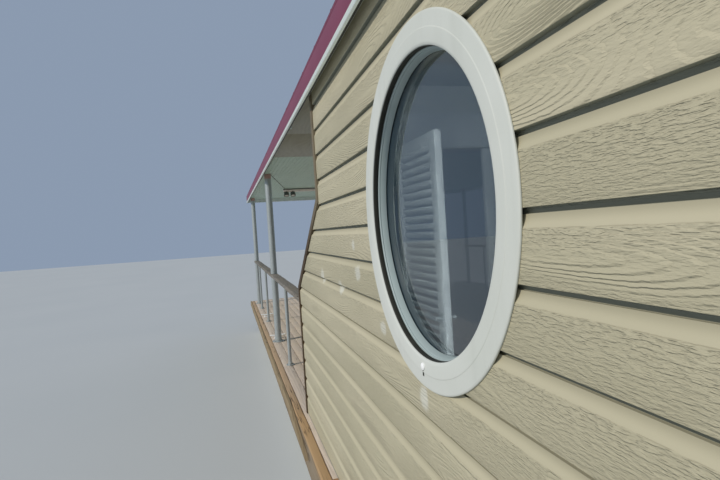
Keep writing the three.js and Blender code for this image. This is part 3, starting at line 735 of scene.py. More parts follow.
# Boarded walls: rows of heights with their depth behind the face, carried along the wall
boardLook = {
    **courses, "back": 0.08,
    # one course, from a bevel's start up to the next board's lip: height from the groove's top, depth
    "course": [(-0.0345, 0.0), (-0.0325, 0.0007), (-0.0265, 0.0038), (-0.0200, 0.0066), (-0.0130, 0.0083),
               (-0.0077, 0.0086), (-0.0077, 0.0158), (0.0040, 0.0158), (0.0040, 0.0018), (0.0044, 0.0007),
               (0.0056, 0.0)],
}
wing = {"upperX": -0.85, "lowerX": 0.205, "slopeTop": 2.665, "slopeFoot": 2.05, "trim": 0.048, "proud": 0.008}
portholeLook = {"height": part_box("porthole_ring_front_port")[0].z + 0.5125, "cut": 0.478}
portholes = {end: sum(corners("porthole_ring_" + end + "_port"))[0] / 2 for end in ("rear", "front")}
doorHead = deckTop + 1.872
frontDoorway = (0.914, 2.08)    # from the middle line, on both sides
rearDoorway = 0.38              # half of its width
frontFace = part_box("front_wall")[1].x
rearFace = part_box("rear_wall")[0].x


def wallRows(foot, top, look, extra=()):
    # heights of a wall's rows and their depths: the course repeated at every groove between foot and top
    first = math.ceil((foot + 0.04 - look["datum"]) / look["pitch"])
    last = math.floor((top - 0.02 - look["datum"]) / look["pitch"])
    grooves = look["datum"] + look["pitch"] * np.arange(first, last + 1)
    course = np.array(look["course"])
    heights = np.concatenate([[foot], (grooves[:, None] + course[None, :, 0]).ravel(), [top]])
    depths = np.concatenate([[0], np.tile(course[:, 1], len(grooves)), [0]])
    for height in extra:
        place = np.searchsorted(heights, height)
        depths = np.insert(depths, place, np.interp(height, heights, depths))
        heights = np.insert(heights, place, height)
    return heights, depths


def wallSpan(form, put, rows, left, right, openings, look, columns=9):
    # one stretch of wall between two edges, each a number or a column with one for each row;
    # at either edge the rows of its opening get a reveal from face to back
    heights, depths = rows[0][:, None], rows[1][:, None]
    along = left + (right - left) * np.linspace(0, 1, columns) + 0 * heights
    face, rear = put(along, depths, heights), put(along, look["back"], heights)
    form.grid(face, closeColumns=False)
    form.grid(rear, closeColumns=False, ink=1)
    for row in (0, -1):
        form.grid(np.stack([face[row], rear[row]]), closeColumns=False)
    for column, opening in zip((0, -1), openings):
        form.grid(np.stack([face[opening, column], rear[opening, column]], 1), closeColumns=False, ink=2)


def makeSideWall(name, side, look):
    low, high = corners("side_wall_" + name)
    rows = wallRows(low[2], high[2], look, (wing["slopeFoot"], wing["slopeTop"]))
    heights = rows[0][:, None]
    # the portholes' cut has half a chord at each height; the front edge runs down the wing's slope
    chord = np.sqrt(np.maximum(0, portholeLook["cut"] ** 2 - (heights - portholeLook["height"]) ** 2))
    inside = np.nonzero(chord[:, 0] > 0)[0]
    whole, hole = slice(None), slice(inside[0] - 1, inside[-1] + 2)
    slope = (heights - wing["slopeFoot"]) / (wing["slopeTop"] - wing["slopeFoot"])
    end = wing["lowerX"] + np.clip(slope, 0, 1) * (wing["upperX"] - wing["lowerX"])
    form = Form()

    def put(along, depth, height):
        return at(along, side * (wallFace - depth), height)

    rear, front = portholes["rear"], portholes["front"]
    wallSpan(form, put, rows, low[0], rear - chord, (whole, hole), look)
    wallSpan(form, put, rows, rear + chord, front - chord, (hole, hole), look)
    wallSpan(form, put, rows, front + chord, end, (hole, whole), look)
    form.piece("side_wall_boards_" + name, "siding", ["siding", "lining", "lining"],
               replaces=["side_wall_" + name])


def makeEndWall(name, outside, inward, doorways, look):
    low, high = corners(name)
    rows = wallRows(low[2], high[2], look)
    split = np.searchsorted(rows[0], doorHead)
    headRow = (doorHead, np.interp(doorHead, *rows))
    lower = [np.append(part[:split], value) for part, value in zip(rows, headRow)]
    upper = [np.insert(part[split:], 0, value) for part, value in zip(rows, headRow)]
    whole = (slice(None), slice(None))
    form = Form()

    def put(along, depth, height):
        return at(outside + inward * depth, along, height)

    edges = sorted([low[1], high[1], *doorways])
    for left, right in zip(edges[::2], edges[1::2]):
        wallSpan(form, put, lower, left, right, whole, look, 3)
    wallSpan(form, put, upper, low[1], high[1], whole, look)
    form.piece(name + "_boards", "siding", ["siding", "lining", "lining"], replaces=[name])


for name, side in sides.items():
    makeSideWall(name, side, boardLook)
makeEndWall("front_wall", frontFace, -1, [-frontDoorway[1], -frontDoorway[0], *frontDoorway], boardLook)
makeEndWall("rear_wall", rearFace, 1, [-rearDoorway, rearDoorway], boardLook)
print("walls made")


# Trim board on the wing's edge: a rounded section carried down the edge's two bends
def makeWingTrim(name, side, look):
    run, fall = look["lowerX"] - look["upperX"], look["slopeFoot"] - look["slopeTop"]
    lift = math.hypot(run, fall) / run
    low, high = corners("wing_trim_" + name)
    wide, inner, outer = look["trim"], wallBack, wallFace + look["proud"]

    def edge(distance):
        # the edge moved forward by a distance, its slope kept parallel
        ends = look["upperX"] + distance, look["lowerX"] + distance
        bends = [look["slopeTop"] + distance * lift + (x - look["upperX"]) * fall / run for x in ends]
        return np.array([[ends[0], high[2]], [ends[0], bends[0]], [ends[1], bends[1]], [ends[1], low[2]]])

    # rows between the bends follow them; a row's points lie between the near and the far edge
    stations = np.concatenate([np.linspace(i, i + 1, 14)[:-1] for i in range(3)] + [[3]])
    whole = np.minimum(stations.astype(int), 2)
    part = (stations - whole)[:, None]
    near, far = (line[whole] * (1 - part) + line[whole + 1] * part for line in (edge(0.0003), edge(wide)))
    outline = eased([(0, inner), (wide, inner), (wide, outer), (0, outer)], 0.005)
    share = (outline[:, 0] / wide)[None, :, None]
    level = near[:, None] * (1 - share) + far[:, None] * share
    rows = at(level[..., 0], outline[:, 1] * side, level[..., 1])
    form = Form().grid(capped(rows), tone=0.35)
    form.piece("wing_board_" + name, "varnish", ["varnish"], replaces=["wing_trim_" + name])
    lower = np.linspace(low[2] + 0.15, look["slopeFoot"] - 0.12, 5)
    upper = np.linspace(look["slopeTop"] + 0.15, high[2] - 0.1, 3)
    heads = np.concatenate([at(look["lowerX"] + wide / 2, side * outer, lower),
                            at(look["upperX"] + wide / 2, side * outer, upper)])
    form = Form().grid(screws(heads, (0, side, 0), 0.0055, 0.0012, 12))
    form.piece("wing_screws_" + name, "varnish", ["bolt"])


for name, side in sides.items():
    makeWingTrim(name, side, wing)

# Portholes: a moulded ring, a rubber gasket in its throat, a bead and the pane; radius and distance out
ringLook = {
    "flange": [(0.4300, -0.0160), (0.4702, -0.0160), (0.4702, 0.0003), (0.5125, 0.0003), (0.5125, 0.0040),
               (0.5085, 0.0062), (0.4712, 0.0075), (0.4690, 0.0088), (0.4330, 0.0075), (0.4268, 0.0045),
               (0.4262, 0.0010), (0.4300, 0.0005)],
    "flangeEase": [0.001, 0.001, 0.001, 0.001, 0.002, 0.003, 0.0008, 0.0012, 0.004, 0.002, 0.001, 0.001],
    "gasket": [(0.4310, 0.0004), (0.4258, 0.0002), (0.4246, -0.0030), (0.4242, -0.0115), (0.4254, -0.0150),
               (0.4310, -0.0155)],
    "bead": [(0.4440, -0.0440), (0.4440, -0.0800), (0.4700, -0.0800), (0.4700, -0.0165), (0.4290, -0.0165),
             (0.4228, -0.0165), (0.4212, -0.0195), (0.4206, -0.0212), (0.4225, -0.0218), (0.4225, -0.0232),
             (0.4200, -0.0238), (0.4150, -0.0440)],
    "beadEase": [0.002] * 7 + [0.0006] * 4 + [0.002],
    "pane": [(0.0, -0.0463), (0.4385, -0.0463), (0.4400, -0.0478), (0.4400, -0.0545), (0.4385, -0.0560),
             (0.0, -0.0560)],
    "sides": 112,
    # the last two are the length and thickness of the dark strip painted under the plug as its shadow
    "drain": {"radius": 0.0105, "at": (0.0132, -0.4515), "face": 0.0076, "proud": 0.006, "run": 0.018,
              "runThick": 0.0011},
}


def makePorthole(end, name, side, look):
    centre = np.array([portholes[end], side * wallFace, portholeLook["height"]])
    label = end + "_" + name

    def ringed(profile):
        return turned(profile, centre, (0, side, 0), look["sides"])

    form = Form()
    form.grid(ringed(eased(look["flange"], look["flangeEase"])), closeRows=True)
    form.grid(ringed(eased(look["bead"], look["beadEase"], 3)), closeRows=True, ink=3)
    # the drain's plug near the ring's foot, and a dark strip under it that is its painted shadow
    drain = look["drain"]
    radius, proud = drain["radius"], drain["proud"]
    face = centre + [drain["at"][0], side * drain["face"], drain["at"][1]]
    plug = [(0, proud), (radius * 0.7, proud), (radius, proud * 0.6), (radius, -0.002), (0, -0.002)]
    form.grid(turned(plug, face, (0, side, 0), 20), ink=1)
    near, far = span(face[1], side, 0, drain["runThick"])
    foot = face[2] - radius
    form.grid(bars([face[0] - 0.001, near, foot - drain["run"]], [face[0] + 0.007, far, foot + 0.004],
                   2, 0.0004), ink=2)
    form.piece("porthole_frame_" + label, "window_ring", ["ring", "cleat", "gasket", "bead"],
               replaces=["porthole_ring_" + label], sharp=50)
    form = Form().grid(ringed(eased(look["gasket"], 0.0015, 3)), closeRows=True)
    form.piece("porthole_gasket_" + label, "window_ring", ["gasket"], sharp=50)
    form = Form().grid(ringed(look["pane"]))
    form.piece("porthole_pane_" + label, "window_glass", ["glass"], replaces=["porthole_glass_" + label])


for end in portholes:
    for name, side in sides.items():
        makePorthole(end, name, side, ringLook)
print("portholes made")

# Louvred leaves, in the leaf's own frame: out through its thickness, across from its hinge, up from the deck
leafLook = {
    "back": 0.009, "front": 0.044, "near": 0.002, "foot": 0.010, "head": 1.866,
    "stile": 0.065, "topRail": 0.055, "footRail": 0.130, "ease": 0.0022,
    "bead": {"wide": 0.008, "half": 0.004, "sunk": 0.0045, "ease": 0.0018},
    "slat": {"pitch": 0.041, "tilt": 0.9, "width": 0.043, "thickness": 0.006, "ease": 0.0026},
    "hinges": (0.26, 1.62), "knuckle": (0.006, 0.040), "knuckleGap": 0.0003, "reach": 0.034,
    "handle": {"height": 0.98, "inset": 0.034, "length": 0.105, "out": (0.026, 0.038), "half": 0.009,
               "rise": 0.012, "plate": (0.12, 0.07), "plateHalf": 0.014,
               "rose": [(0, 0.007), (0.019, 0.007), (0.023, 0.004), (0.024, -0.001), (0, -0.001)],
               "neck": [(0, 0.034), (0.0085, 0.034), (0.0085, 0.004), (0, 0.004)]},
}
# name: side the leaf runs to, turn of its wall, turn at rest, width
frontLeaf = (frontDoorway[1] - frontDoorway[0] - 0.022) / 2
doors = {
    "door_port_outer": (-1, 0.0, -math.pi / 2, frontLeaf),
    "door_port_inner": (1, 0.0, 0.0, frontLeaf),
    "door_starboard_inner": (-1, 0.0, 0.0, frontLeaf),
    "door_starboard_outer": (1, 0.0, 0.0, frontLeaf),
    "door_rear": (1, math.pi, 0.0, 2 * rearDoorway - 0.012),
}
hingePlaces = {joint["child"]: joint["pos_m"] for joint in frame["joints"]}


def rolled(points, turn, first, second):
    # points turned in the plane of two axes, from the first towards the second
    c, s = math.cos(turn), math.sin(turn)
    made = points.copy()
    made[..., first] = points[..., first] * c - points[..., second] * s
    made[..., second] = points[..., first] * s + points[..., second] * c
    return made


def knuckle(radius, tall, start, way, recess=0):
    # profile of a hinge knuckle: flat at its start, domed at its other end
    steps = [(0, recess), (0.8, recess), (1, 0.001), (1, tall - 0.004), (0.75, tall - 0.001), (0.4, tall),
             (0, tall)]
    return [(radius * share, start + way * rise) for share, rise in steps][::way]


def makeDoor(name, side, wallTurn, restTurn, width, look):
    body = name + "_leaf"
    back, front, near, foot, head = (look[key] for key in ("back", "front", "near", "foot", "head"))
    far = near + width
    left, right = near + look["stile"], far - look["stile"]    # the louvred field lies between the stiles
    railTop, railFoot = head - look["topRail"], foot + look["footRail"]

    def hang(form, points, tone=0.5, turn=wallTurn + restTurn):
        # a shape in the leaf's frame, turned about the hinge's axis and moved to it
        form.grid(rolled(points * [1.0, side, 1], turn, 0, 1) + np.array(hingePlaces[body]), tone=tone)

    form = Form()
    for y0, y1 in ((near, left), (right, far)):
        hang(form, bars([back, y0, foot], [front, y1, head], 2, look["ease"]))
    for z0, z1 in ((railTop, head), (foot, railFoot)):
        hang(form, bars([back, left - 0.001, z0], [front, right + 0.001, z1], 1, look["ease"]))
    bead = look["bead"]    # round the louvred field, on both faces
    wide = bead["wide"]
    for face in (back + bead["sunk"], front - bead["sunk"]):
        x0, x1 = face - bead["half"], face + bead["half"]
        for y0, y1 in ((left - 0.001, left + wide), (right - wide, right + 0.001)):
            hang(form, bars([x0, y0, railFoot], [x1, y1, railTop], 2, bead["ease"]))
        for z0, z1 in ((railFoot - 0.001, railFoot + wide), (railTop - wide, railTop + 0.001)):
            hang(form, bars([x0, left, z0], [x1, right, z1], 1, bead["ease"]))
    # slats: one thin blade, tilted, repeated up the leaf
    slat = look["slat"]
    count = int((railTop - railFoot) // slat["pitch"])
    pitch = (railTop - railFoot) / count
    half, thick = slat["width"] / 2, slat["thickness"] / 2
    blade = bars([-half, left - 0.004, -thick], [half, right + 0.004, thick], 1, slat["ease"])
    heights = railFoot + (np.arange(count) + 0.5) * pitch
    offsets = at((back + front) / 2, 0, heights)[:, None, None]
    hang(form, rolled(blade, -slat["tilt"], 0, 2) + offsets, tones(count, 50))
    form.piece(name + "_louvres", "door_paint", ["door"], body, [name])
    # knuckles and plates that turn with the leaf, and the wall's own under them
    own, fixed = Form(), Form()
    (radius, tall), reach = look["knuckle"], look["reach"]
    for z in look["hinges"]:
        hang(own, turned(knuckle(radius, tall, z, 1), [0, 0, 0], count=14))
        hang(own, bars([-0.001, 0.003, z + 0.002], [back + 0.001, reach, z + tall - 0.002], 1, 0.001))
        top = z - look["knuckleGap"]
        hang(fixed, turned(knuckle(radius, tall, top, -1, 0.0004), [0, 0, 0], count=14), turn=wallTurn)
        plate = bars([0.002, -reach, top - tall + 0.002], [back + 0.001, 0.0, top - 0.002], 1, 0.001)
        hang(fixed, plate, turn=wallTurn)
    own.piece(name + "_hinges", "door_paint", ["bolt"], body)
    # lever handle on both faces, on a round rose, with a lock plate below
    form = Form()
    handle = look["handle"]
    grip, height = far - handle["inset"], handle["height"]
    for face, way in ((front, 1), (back, -1)):
        hang(form, turned(handle["rose"], [face, grip, height], (way, 0, 0), 24))
        hang(form, turned(handle["neck"], [face, grip, height], (way, 0, 0), 14))
        x0, x1 = span(face, way, *handle["out"])
        lever = bars([x0, grip - handle["length"], height - handle["half"]],
                     [x1, grip + 0.012, height + handle["half"]], 1, 0.005, 6, 4)
        lever[..., 2] += handle["rise"] * ((grip - lever[..., 1]) / handle["length"]) ** 2 - 0.002
        hang(form, lever)
        x0, x1 = span(face, way, 0, 0.002)
        z0, z1 = (height - down for down in handle["plate"])
        half = handle["plateHalf"]
        hang(form, bars([x0, grip - half, z0], [x1, grip + half, z1], 2, 0.0009))
    form.piece(name + "_handle", "post_steel", ["steel"], body)
    fixed.piece(name + "_wall_hinges", "door_paint", ["bolt"])


for name, own in doors.items():
    makeDoor(name, *own, leafLook)
print("doors made")

# Casings round the doorways, head boards inside, and thresholds
casingLook = {"width": 0.07, "proud": 0.014, "sunk": 0.010, "headProud": 0.008, "headReach": 0.02,
              "insideSet": 0.038, "insideProud": 0.010, "headBoard": (2.952, 3.147), "ease": 0.003,
              "threshold": 0.0035, "thresholdIn": (-0.075, -0.004)}


def makeCasings(look):
    form, sills = Form(), Form()
    width, gap, ease = look["width"], look["insideSet"], look["ease"]
    openings = [(frontFace, 1, frontDoorway[0], frontDoorway[1]),
                (frontFace, 1, -frontDoorway[1], -frontDoorway[0]), (rearFace, -1, -rearDoorway, rearDoorway)]
    for face, way, y0, y1 in openings:
        x0, x1 = span(face, way, -look["sunk"], look["proud"])
        for left, right in ((y0 - width, y0 - 0.001), (y1 + 0.001, y1 + width)):
            form.grid(bars([x0, left, deckTop + 0.0005], [x1, right, doorHead], 2, ease))
        reach = width + look["headReach"]
        form.grid(bars([x0, y0 - reach, doorHead + 0.001],
                       [x1 + max(way, 0) * look["headProud"], y1 + reach, doorHead + width + 0.01], 1, ease))
        x0, x1 = span(face - way * boardLook["back"], way, 0, -look["insideProud"])
        for left, right in ((y0 - gap - width, y0 - gap), (y1 + gap, y1 + gap + width)):
            form.grid(bars([x0, left, deckTop + 0.0005], [x1, right, doorHead + 0.008], 2, ease))
        low, high = look["headBoard"]
        left = max(-wallBack + 0.002, y0 - gap - width - 0.05)
        right = min(wallBack - 0.002, y1 + gap + width + 0.05)
        form.grid(bars([x0, left, low], [x1, right, high], 1, ease))
        x0, x1 = span(face, way, *look["thresholdIn"])
        sills.grid(bars([x0, y0 + 0.002, deckTop - 0.001], [x1, y1 - 0.002, deckTop + look["threshold"]],
                        1, 0.0015))
    form.piece("doorway_casings", "door_paint", ["door"])
    sills.piece("doorway_thresholds", "post_steel", ["steel"])


makeCasings(casingLook)

# Skirting and cornice inside the cabin, along both sides
skirtingLook = {"thick": 0.014, "tall": 0.09, "cornice": 0.045}


def makeCabinTrim(look):
    form = Form()
    rear, front = rearFace + boardLook["back"], frontFace - boardLook["back"]
    for side in sides.values():
        y0, y1 = span(side * wallBack, side, -look["thick"], 0)
        for z0, z1, ease in ((deckTop + 0.0005, deckTop + look["tall"], 0.004),
                             (ceilingFoot - look["cornice"], ceilingFoot - 0.0005, 0.006)):
            form.grid(bars([rear, y0, z0], [front, y1, z1], 0, ease))
    form.piece("cabin_skirting", "door_paint", ["door"])


makeCabinTrim(skirtingLook)

# Ceiling: plywood sheets with cover strips behind, grooved boards ahead
ceilingLook = {"sheet": 1.22, "cover": 0.044, "coverDepth": 0.006, "boards": 110, "groove": 0.0042,
               "grooveDepth": 0.0032, "stations": 8}


def makePlyCeiling(look):
    low, high = corners("ceiling_panel")
    edges = np.linspace(low[0], high[0], round((high[0] - low[0]) / look["sheet"]) + 1)
    form = Form()
    for number, (x0, x1) in enumerate(zip(edges[:-1], edges[1:])):
        for y0, y1 in ((low[1], -0.0004), (0.0004, high[1])):
            sheet = bars([x0 + 0.0003, y0, low[2]], [x1 - 0.0003, y1, high[2]], 1, 0.0006)
            form.grid(sheet, tone=(number * 0.37 + (y0 > 0) * 0.5) % 1)
    form.piece("ceiling_ply_sheets", "ceiling_ply", ["ply"], replaces=["ceiling_panel"])
    # cover strips over the joints, inside the cabin and over the aft deck
    form = Form()
    half = look["cover"] / 2
    for x in edges[1:-1]:
        if rearFace - 0.05 <= x <= rearFace + 0.1 or x >= frontFace - 0.1:
            continue
        reach = wallBack - 0.02 if x > rearFace else high[1] - 0.002
        form.grid(bars([x - half, -reach, low[2] - look["coverDepth"]], [x + half, reach, low[2] + 0.0005],
                       1, 0.003))
    form.piece("ceiling_cover_strips", "ceiling_ply", ["ply"])


def makeBoardCeiling(look):
    low, high = corners("ceiling_boards")
    pitch = (high[1] - low[1]) / look["boards"]
    lines = low[1] + pitch * np.arange(1, look["boards"])
    half, deep = look["groove"] / 2, look["grooveDepth"]
    across = (lines[:, None] + np.array([-half, -half * 0.3, half * 0.3, half])[None]).ravel()
    under = np.tile(low[2] + np.array([0, deep, deep, 0]), len(lines))
    foot = np.stack([[low[1], *across, high[1]], [low[2], *under, low[2]]], 1)
    outline = np.concatenate([foot, [[high[1], high[2]], [low[1], high[2]]]])
    stations = np.linspace(low[0] + 0.0005, high[0], look["stations"])
    rows = np.stack([np.insert(outline, 0, x, axis=1) for x in stations])
    form = Form().grid(rows)
    # the ends are closed by strips between each point of the underside and the top above it
    for row in (rows[0], rows[-1]):
        lower = row[:len(foot)]
        form.grid(np.stack([lower, lower * [1, 1, 0] + [0, 0, high[2]]]), closeColumns=False)
    form.grid(rows[:, len(foot):], closeColumns=False)
    form.piece("ceiling_grooved_boards", "ceiling_paint", ["ceiling"], replaces=["ceiling_boards"], weld=1e-6)


makePlyCeiling(ceilingLook)
makeBoardCeiling(ceilingLook)
print("ceiling made")

# Roof: maroon edge band, white strip under it, and a seamed sheet roof with ridge and hip caps
edgeLook = {
    "bandThick": 0.025, "stepFrom": 0.10, "stepDepth": 0.0022, "stripThick": 0.031, "stripStep": 0.012,
    "clip": ([-0.180, 2.530, 3.2375], [-0.140, 2.540, 3.2618]),    # port one: beside the cabin's front corner
}
roofLook = {
    "ridge": (-4.34, 4.94), "eaves": 3.3903, "top": 3.6903, "band": 0.0253, "lip": 3.3785, "sheetDrop": 0.010,
    "seamPitch": 0.4, "seamHeight": 0.016, "seamWidth": 0.022, "cap": 0.13, "capInset": 0.09,
}


def makeRoofEdge(look):
    low, high = corners("roof_fascia")
    foot, top, inner, step = low[2], high[2], -look["bandThick"], -look["stepDepth"]
    stepFoot = foot + look["stepFrom"]
    profile = eased([(inner, top), (inner, foot), (0, foot), (0, stepFoot), (step, stepFoot + 0.003),
                     (step, top - 0.012), (0, top - 0.009), (0, top)],
                    [0.002, 0.002, 0.003, 0.001, 0.001, 0.001, 0.001, 0.002], 3)
    # the band's inner face, between the middles of its two corners, is painted like the ceiling's edge
    profile = np.roll(profile, -1, 0)
    form = Form().grid(mitred(profile[:4], low, high), closeRows=True, closeColumns=False, ink=1)
    form.grid(mitred([*profile[3:], profile[0]], low, high), closeRows=True, closeColumns=False)
    form.piece("roof_fascia_band", "roof_metal", ["maroon", "soffit"], replaces=["roof_fascia"], sharp=30)
    low, high = corners("roof_edge_strip")
    foot, top, inner = low[2], high[2], -look["stripThick"]
    profile = eased([(inner, top), (inner, foot + look["stripStep"]), (-0.024, foot), (-0.013, foot),
                     (0, foot), (0, top)], [0.001, 0.001, 0.002, 0.0005, 0.004, 0.003])
    # from the inside outwards: inner face; below, a dark inner half that is painted shade and a paler outer
    # half that is painted bounce light; then the outer face and top
    profile = np.roll(profile, -2, 0)
    profile = np.concatenate([profile, profile[:1]])
    form = Form()
    for ink, first, last in ((1, 0, 8), (2, 8, 12), (3, 12, 16), (0, 16, 24)):
        form.grid(mitred(profile[first:last + 1], low, high), closeRows=True, closeColumns=False, ink=ink)
    clipLow, clipHigh = look["clip"]
    for side in sides.values():
        y0, y1 = span(0, side, clipLow[1], clipHigh[1])
        form.grid(bars([clipLow[0], y0, clipLow[2]], [clipHigh[0], y1, clipHigh[2]], 0, 0.002))
    form.piece("roof_edge_strip_painted", "edge_paint", ["edge", "soffit", "gasket", "drip"],
               replaces=["roof_edge_strip"], sharp=30)


def makeRoof(look):
    low, high = corners("roof")
    eaves, top, drop = look["eaves"], look["top"], look["sheetDrop"]
    run0, run1 = look["ridge"]
    # the block stands inside the fascia up to the lip, which covers the fascia's top edge
    eave = rectangle(low, high, eaves)
    ridge = np.array([[run0, 0, top], [run1, 0, top]])
    inset = rectangle((1, 1), (-1, -1), 0)[:, :2] * look["band"]
    base = np.column_stack([eave[:, :2] + inset, np.full(4, low[2])])
    neck = np.column_stack([base[:, :2], np.full(4, look["lip"])])
    lip = np.column_stack([eave[:, :2], np.full(4, look["lip"])])
    form = Form().grid(np.stack([base, neck, lip, eave - [0, 0, drop], (ridge - [0, 0, drop])[[0, 1, 1, 0]]]))
    form.grid(np.stack([base[[0, 1]], base[[3, 2]]]), closeColumns=False)
    # standing seams up the long slopes and up the hips, each cut short by the hip line
    counts = np.round((high - low) / look["seamPitch"]).astype(int) + 1
    x, y = (np.linspace(low[i], high[i], counts[i])[1:-1] for i in (0, 1))
    longReach = np.minimum((x - low[0]) / (run0 - low[0]), (high[0] - x) / (high[0] - run1))
    longReach = np.minimum(longReach, 1) - 0.03
    hipReach = np.minimum((high[1] - np.abs(y)) / high[1], 1) - 0.03
    slopes = [(1, high[1], 0, x, longReach), (1, -high[1], 0, x, longReach),
              (0, low[0], run0, y, hipReach), (0, high[0], run1, y, hipReach)]
    width, tall = look["seamWidth"] / 2, look["seamHeight"]
    seam = eased([(-width, -0.004), (width, -0.004), (width * 0.45, tall), (-width * 0.45, tall)], 0.002, 2)
    for axis, eaveAt, ridgeAt, along, reach in slopes:
        along, reach = along[reach > 0.03], reach[reach > 0.03]
        ends = []
        for part in (0.002, reach):
            over, up = eaveAt + (ridgeAt - eaveAt) * part, eaves - drop + (top - eaves) * part
            ends.append(at(along, over, up) if axis else at(over, along, up))
        form.grid(carried(seam, *ends, (axis, 1 - axis, 0), (0, 0, 1)))
    # caps: low folded strips over the ridge and the four hips
    half = look["cap"] / 2
    section = eased([(-half, -0.030), (half, -0.030), (half, -0.014), (0, -0.001), (-half, -0.014)], 0.003, 3)
    for start, end in ((ridge[0], ridge[1]), (eave[0], ridge[0]), (eave[3], ridge[0]), (eave[1], ridge[1]),
                       (eave[2], ridge[1])):
        ahead = (end - start) / np.linalg.norm(end - start)
        across = np.cross([0, 0, 1], ahead)
        across /= np.linalg.norm(across)
        inset = 0.0 if start[2] == end[2] else look["capInset"]
        form.grid(carried(section, [start + ahead * inset], [end], across, (0, 0, 1), 0.003))
    form.piece("roof_sheets", "roof_metal", ["maroon"], replaces=["roof"], sharp=30, weld=1e-6)


makeRoofEdge(edgeLook)
makeRoof(roofLook)
print("roof made")

# Posts and stanchions: tube, foot flange with bolts, and collars
tubeLook = {
    "post": {"radius": 0.0425, "flange": 0.08, "thick": 0.008, "collar": 0.040, "sides": 40,
             "bolts": 4, "boltAt": 0.062, "boltSize": 0.0085},
    "stanchion": {"radius": 0.019, "flange": 0.045, "thick": 0.008, "collar": 0.022, "sides": 24,
                  "bolts": 3, "boltAt": 0.034, "boltSize": 0.006},
    "cap": [(0.0005, -0.060), (0.0015, -0.059), (0.0015, -0.012), (0.0015, -0.001), (-0.004, -0.001),
            (-0.004, -0.059)],    # painted collar under the ceiling: out from the tube, up from its head
}


def makeTube(node, look):
    low, high = corners(node)
    x, y = (low[:2] + high[:2]) / 2
    radius, flange, thick = look["radius"], look["flange"], look["thick"]
    height, collar, collarTop = high[2] - low[2], radius + 0.005, thick + look["collar"]
    profile = [(0, 0), (flange - 0.001, 0), (flange, 0.001), (flange, thick - 0.002), (flange - 0.002, thick),
               (collar, thick), (collar, collarTop), (collar - 0.003, collarTop + 0.003),
               (radius, collarTop + 0.004), (radius, 0.35), (radius, height * 0.5), (radius, height - 0.05),
               (radius - 0.001, height), (0, height)]
    form = Form().grid(turned(profile, [x, y, low[2]], count=look["sides"]))
    form.piece(node + "_tube", "post_steel", ["steel"], replaces=[node])
    angle = (np.arange(look["bolts"]) + 0.5) * 2 * math.pi / look["bolts"]
    spots = at(x + look["boltAt"] * np.cos(angle), y + look["boltAt"] * np.sin(angle), low[2] + thick)
    size = look["boltSize"]
    bolt = [(0, size * 0.75), (size * 0.85, size * 0.75), (size, size * 0.55), (size, 0),
            (size * 1.5, -0.0002), (size * 1.5, -0.002), (0, -0.002)]
    Form().grid(turned(bolt, spots, count=6)).piece(node + "_bolts", "post_steel", ["bolt"])
    return np.array([x, y, low[2]]), height


for name in sides:
    for end in ("middle", "front"):
        node = "post_" + end + "_" + name
        base, height = makeTube(node, tubeLook["post"])
        cap = np.array(tubeLook["cap"]) + [tubeLook["post"]["radius"], height]
        form = Form().grid(turned(cap, base, count=tubeLook["post"]["sides"]), closeRows=True)
        form.piece(node + "_collar", "post_steel", ["cap"])
    for number in (1, 2, 3):
        makeTube("stanchion_" + str(number) + "_" + name, tubeLook["stanchion"])

# Handrails: a plank worn round at its edges
railLook = {"ease": 0.011, "wear": 0.003, "joint": 3.05, "jointHalf": 0.002, "screwPitch": 0.9,
            "screwPair": 0.03, "screwAcross": (0.028, -0.03), "screw": (0.0055, 0.001, 12)}


def makeHandrail(name, side, look):
    low, high = corners("handrail_" + name)
    edges = (low[0], look["joint"] - look["jointHalf"]), (look["joint"] + look["jointHalf"], high[0])
    form = Form()
    for number, (x0, x1) in enumerate(edges):
        a, b = np.array([x0, *low[1:]]), np.array([x1, *high[1:]])
        plank = bars(a, b, 0, look["ease"], 150, 6)
        plank[..., 1:] = worn(plank, a, b, look["wear"], 60 + number + side)[..., 1:]
        form.grid(plank, tone=0.25 + 0.5 * number)
    form.piece("handrail_timber_" + name, "deck_timber", ["rail"], replaces=["handrail_" + name])
    x = np.arange(low[0] + 0.12, high[0] - 0.05, look["screwPitch"])
    x = np.concatenate([x, x + look["screwPair"]])
    y = (low[1] + high[1]) / 2 + np.where(np.arange(len(x)) % 2, *look["screwAcross"])
    form = Form().grid(screws(at(x, y, high[2] - 0.002), (0, 0, 1), *look["screw"]))
    form.piece("handrail_screws_" + name, "deck_timber", ["bolt"])


for name, side in sides.items():
    makeHandrail(name, side, railLook)

# Mooring cleats: two legs on a foot plate, and a pair of tapering horns above them
cleatLook = {"plate": 0.008, "plateHalf": (0.0138, 0.0575), "legAt": 0.037, "leg": (0.0115, 0.011),
             "flare": (0.15, 0.004), "middle": 0.0405, "lift": 0.009, "thick": 0.0112, "boltIn": 0.0055}


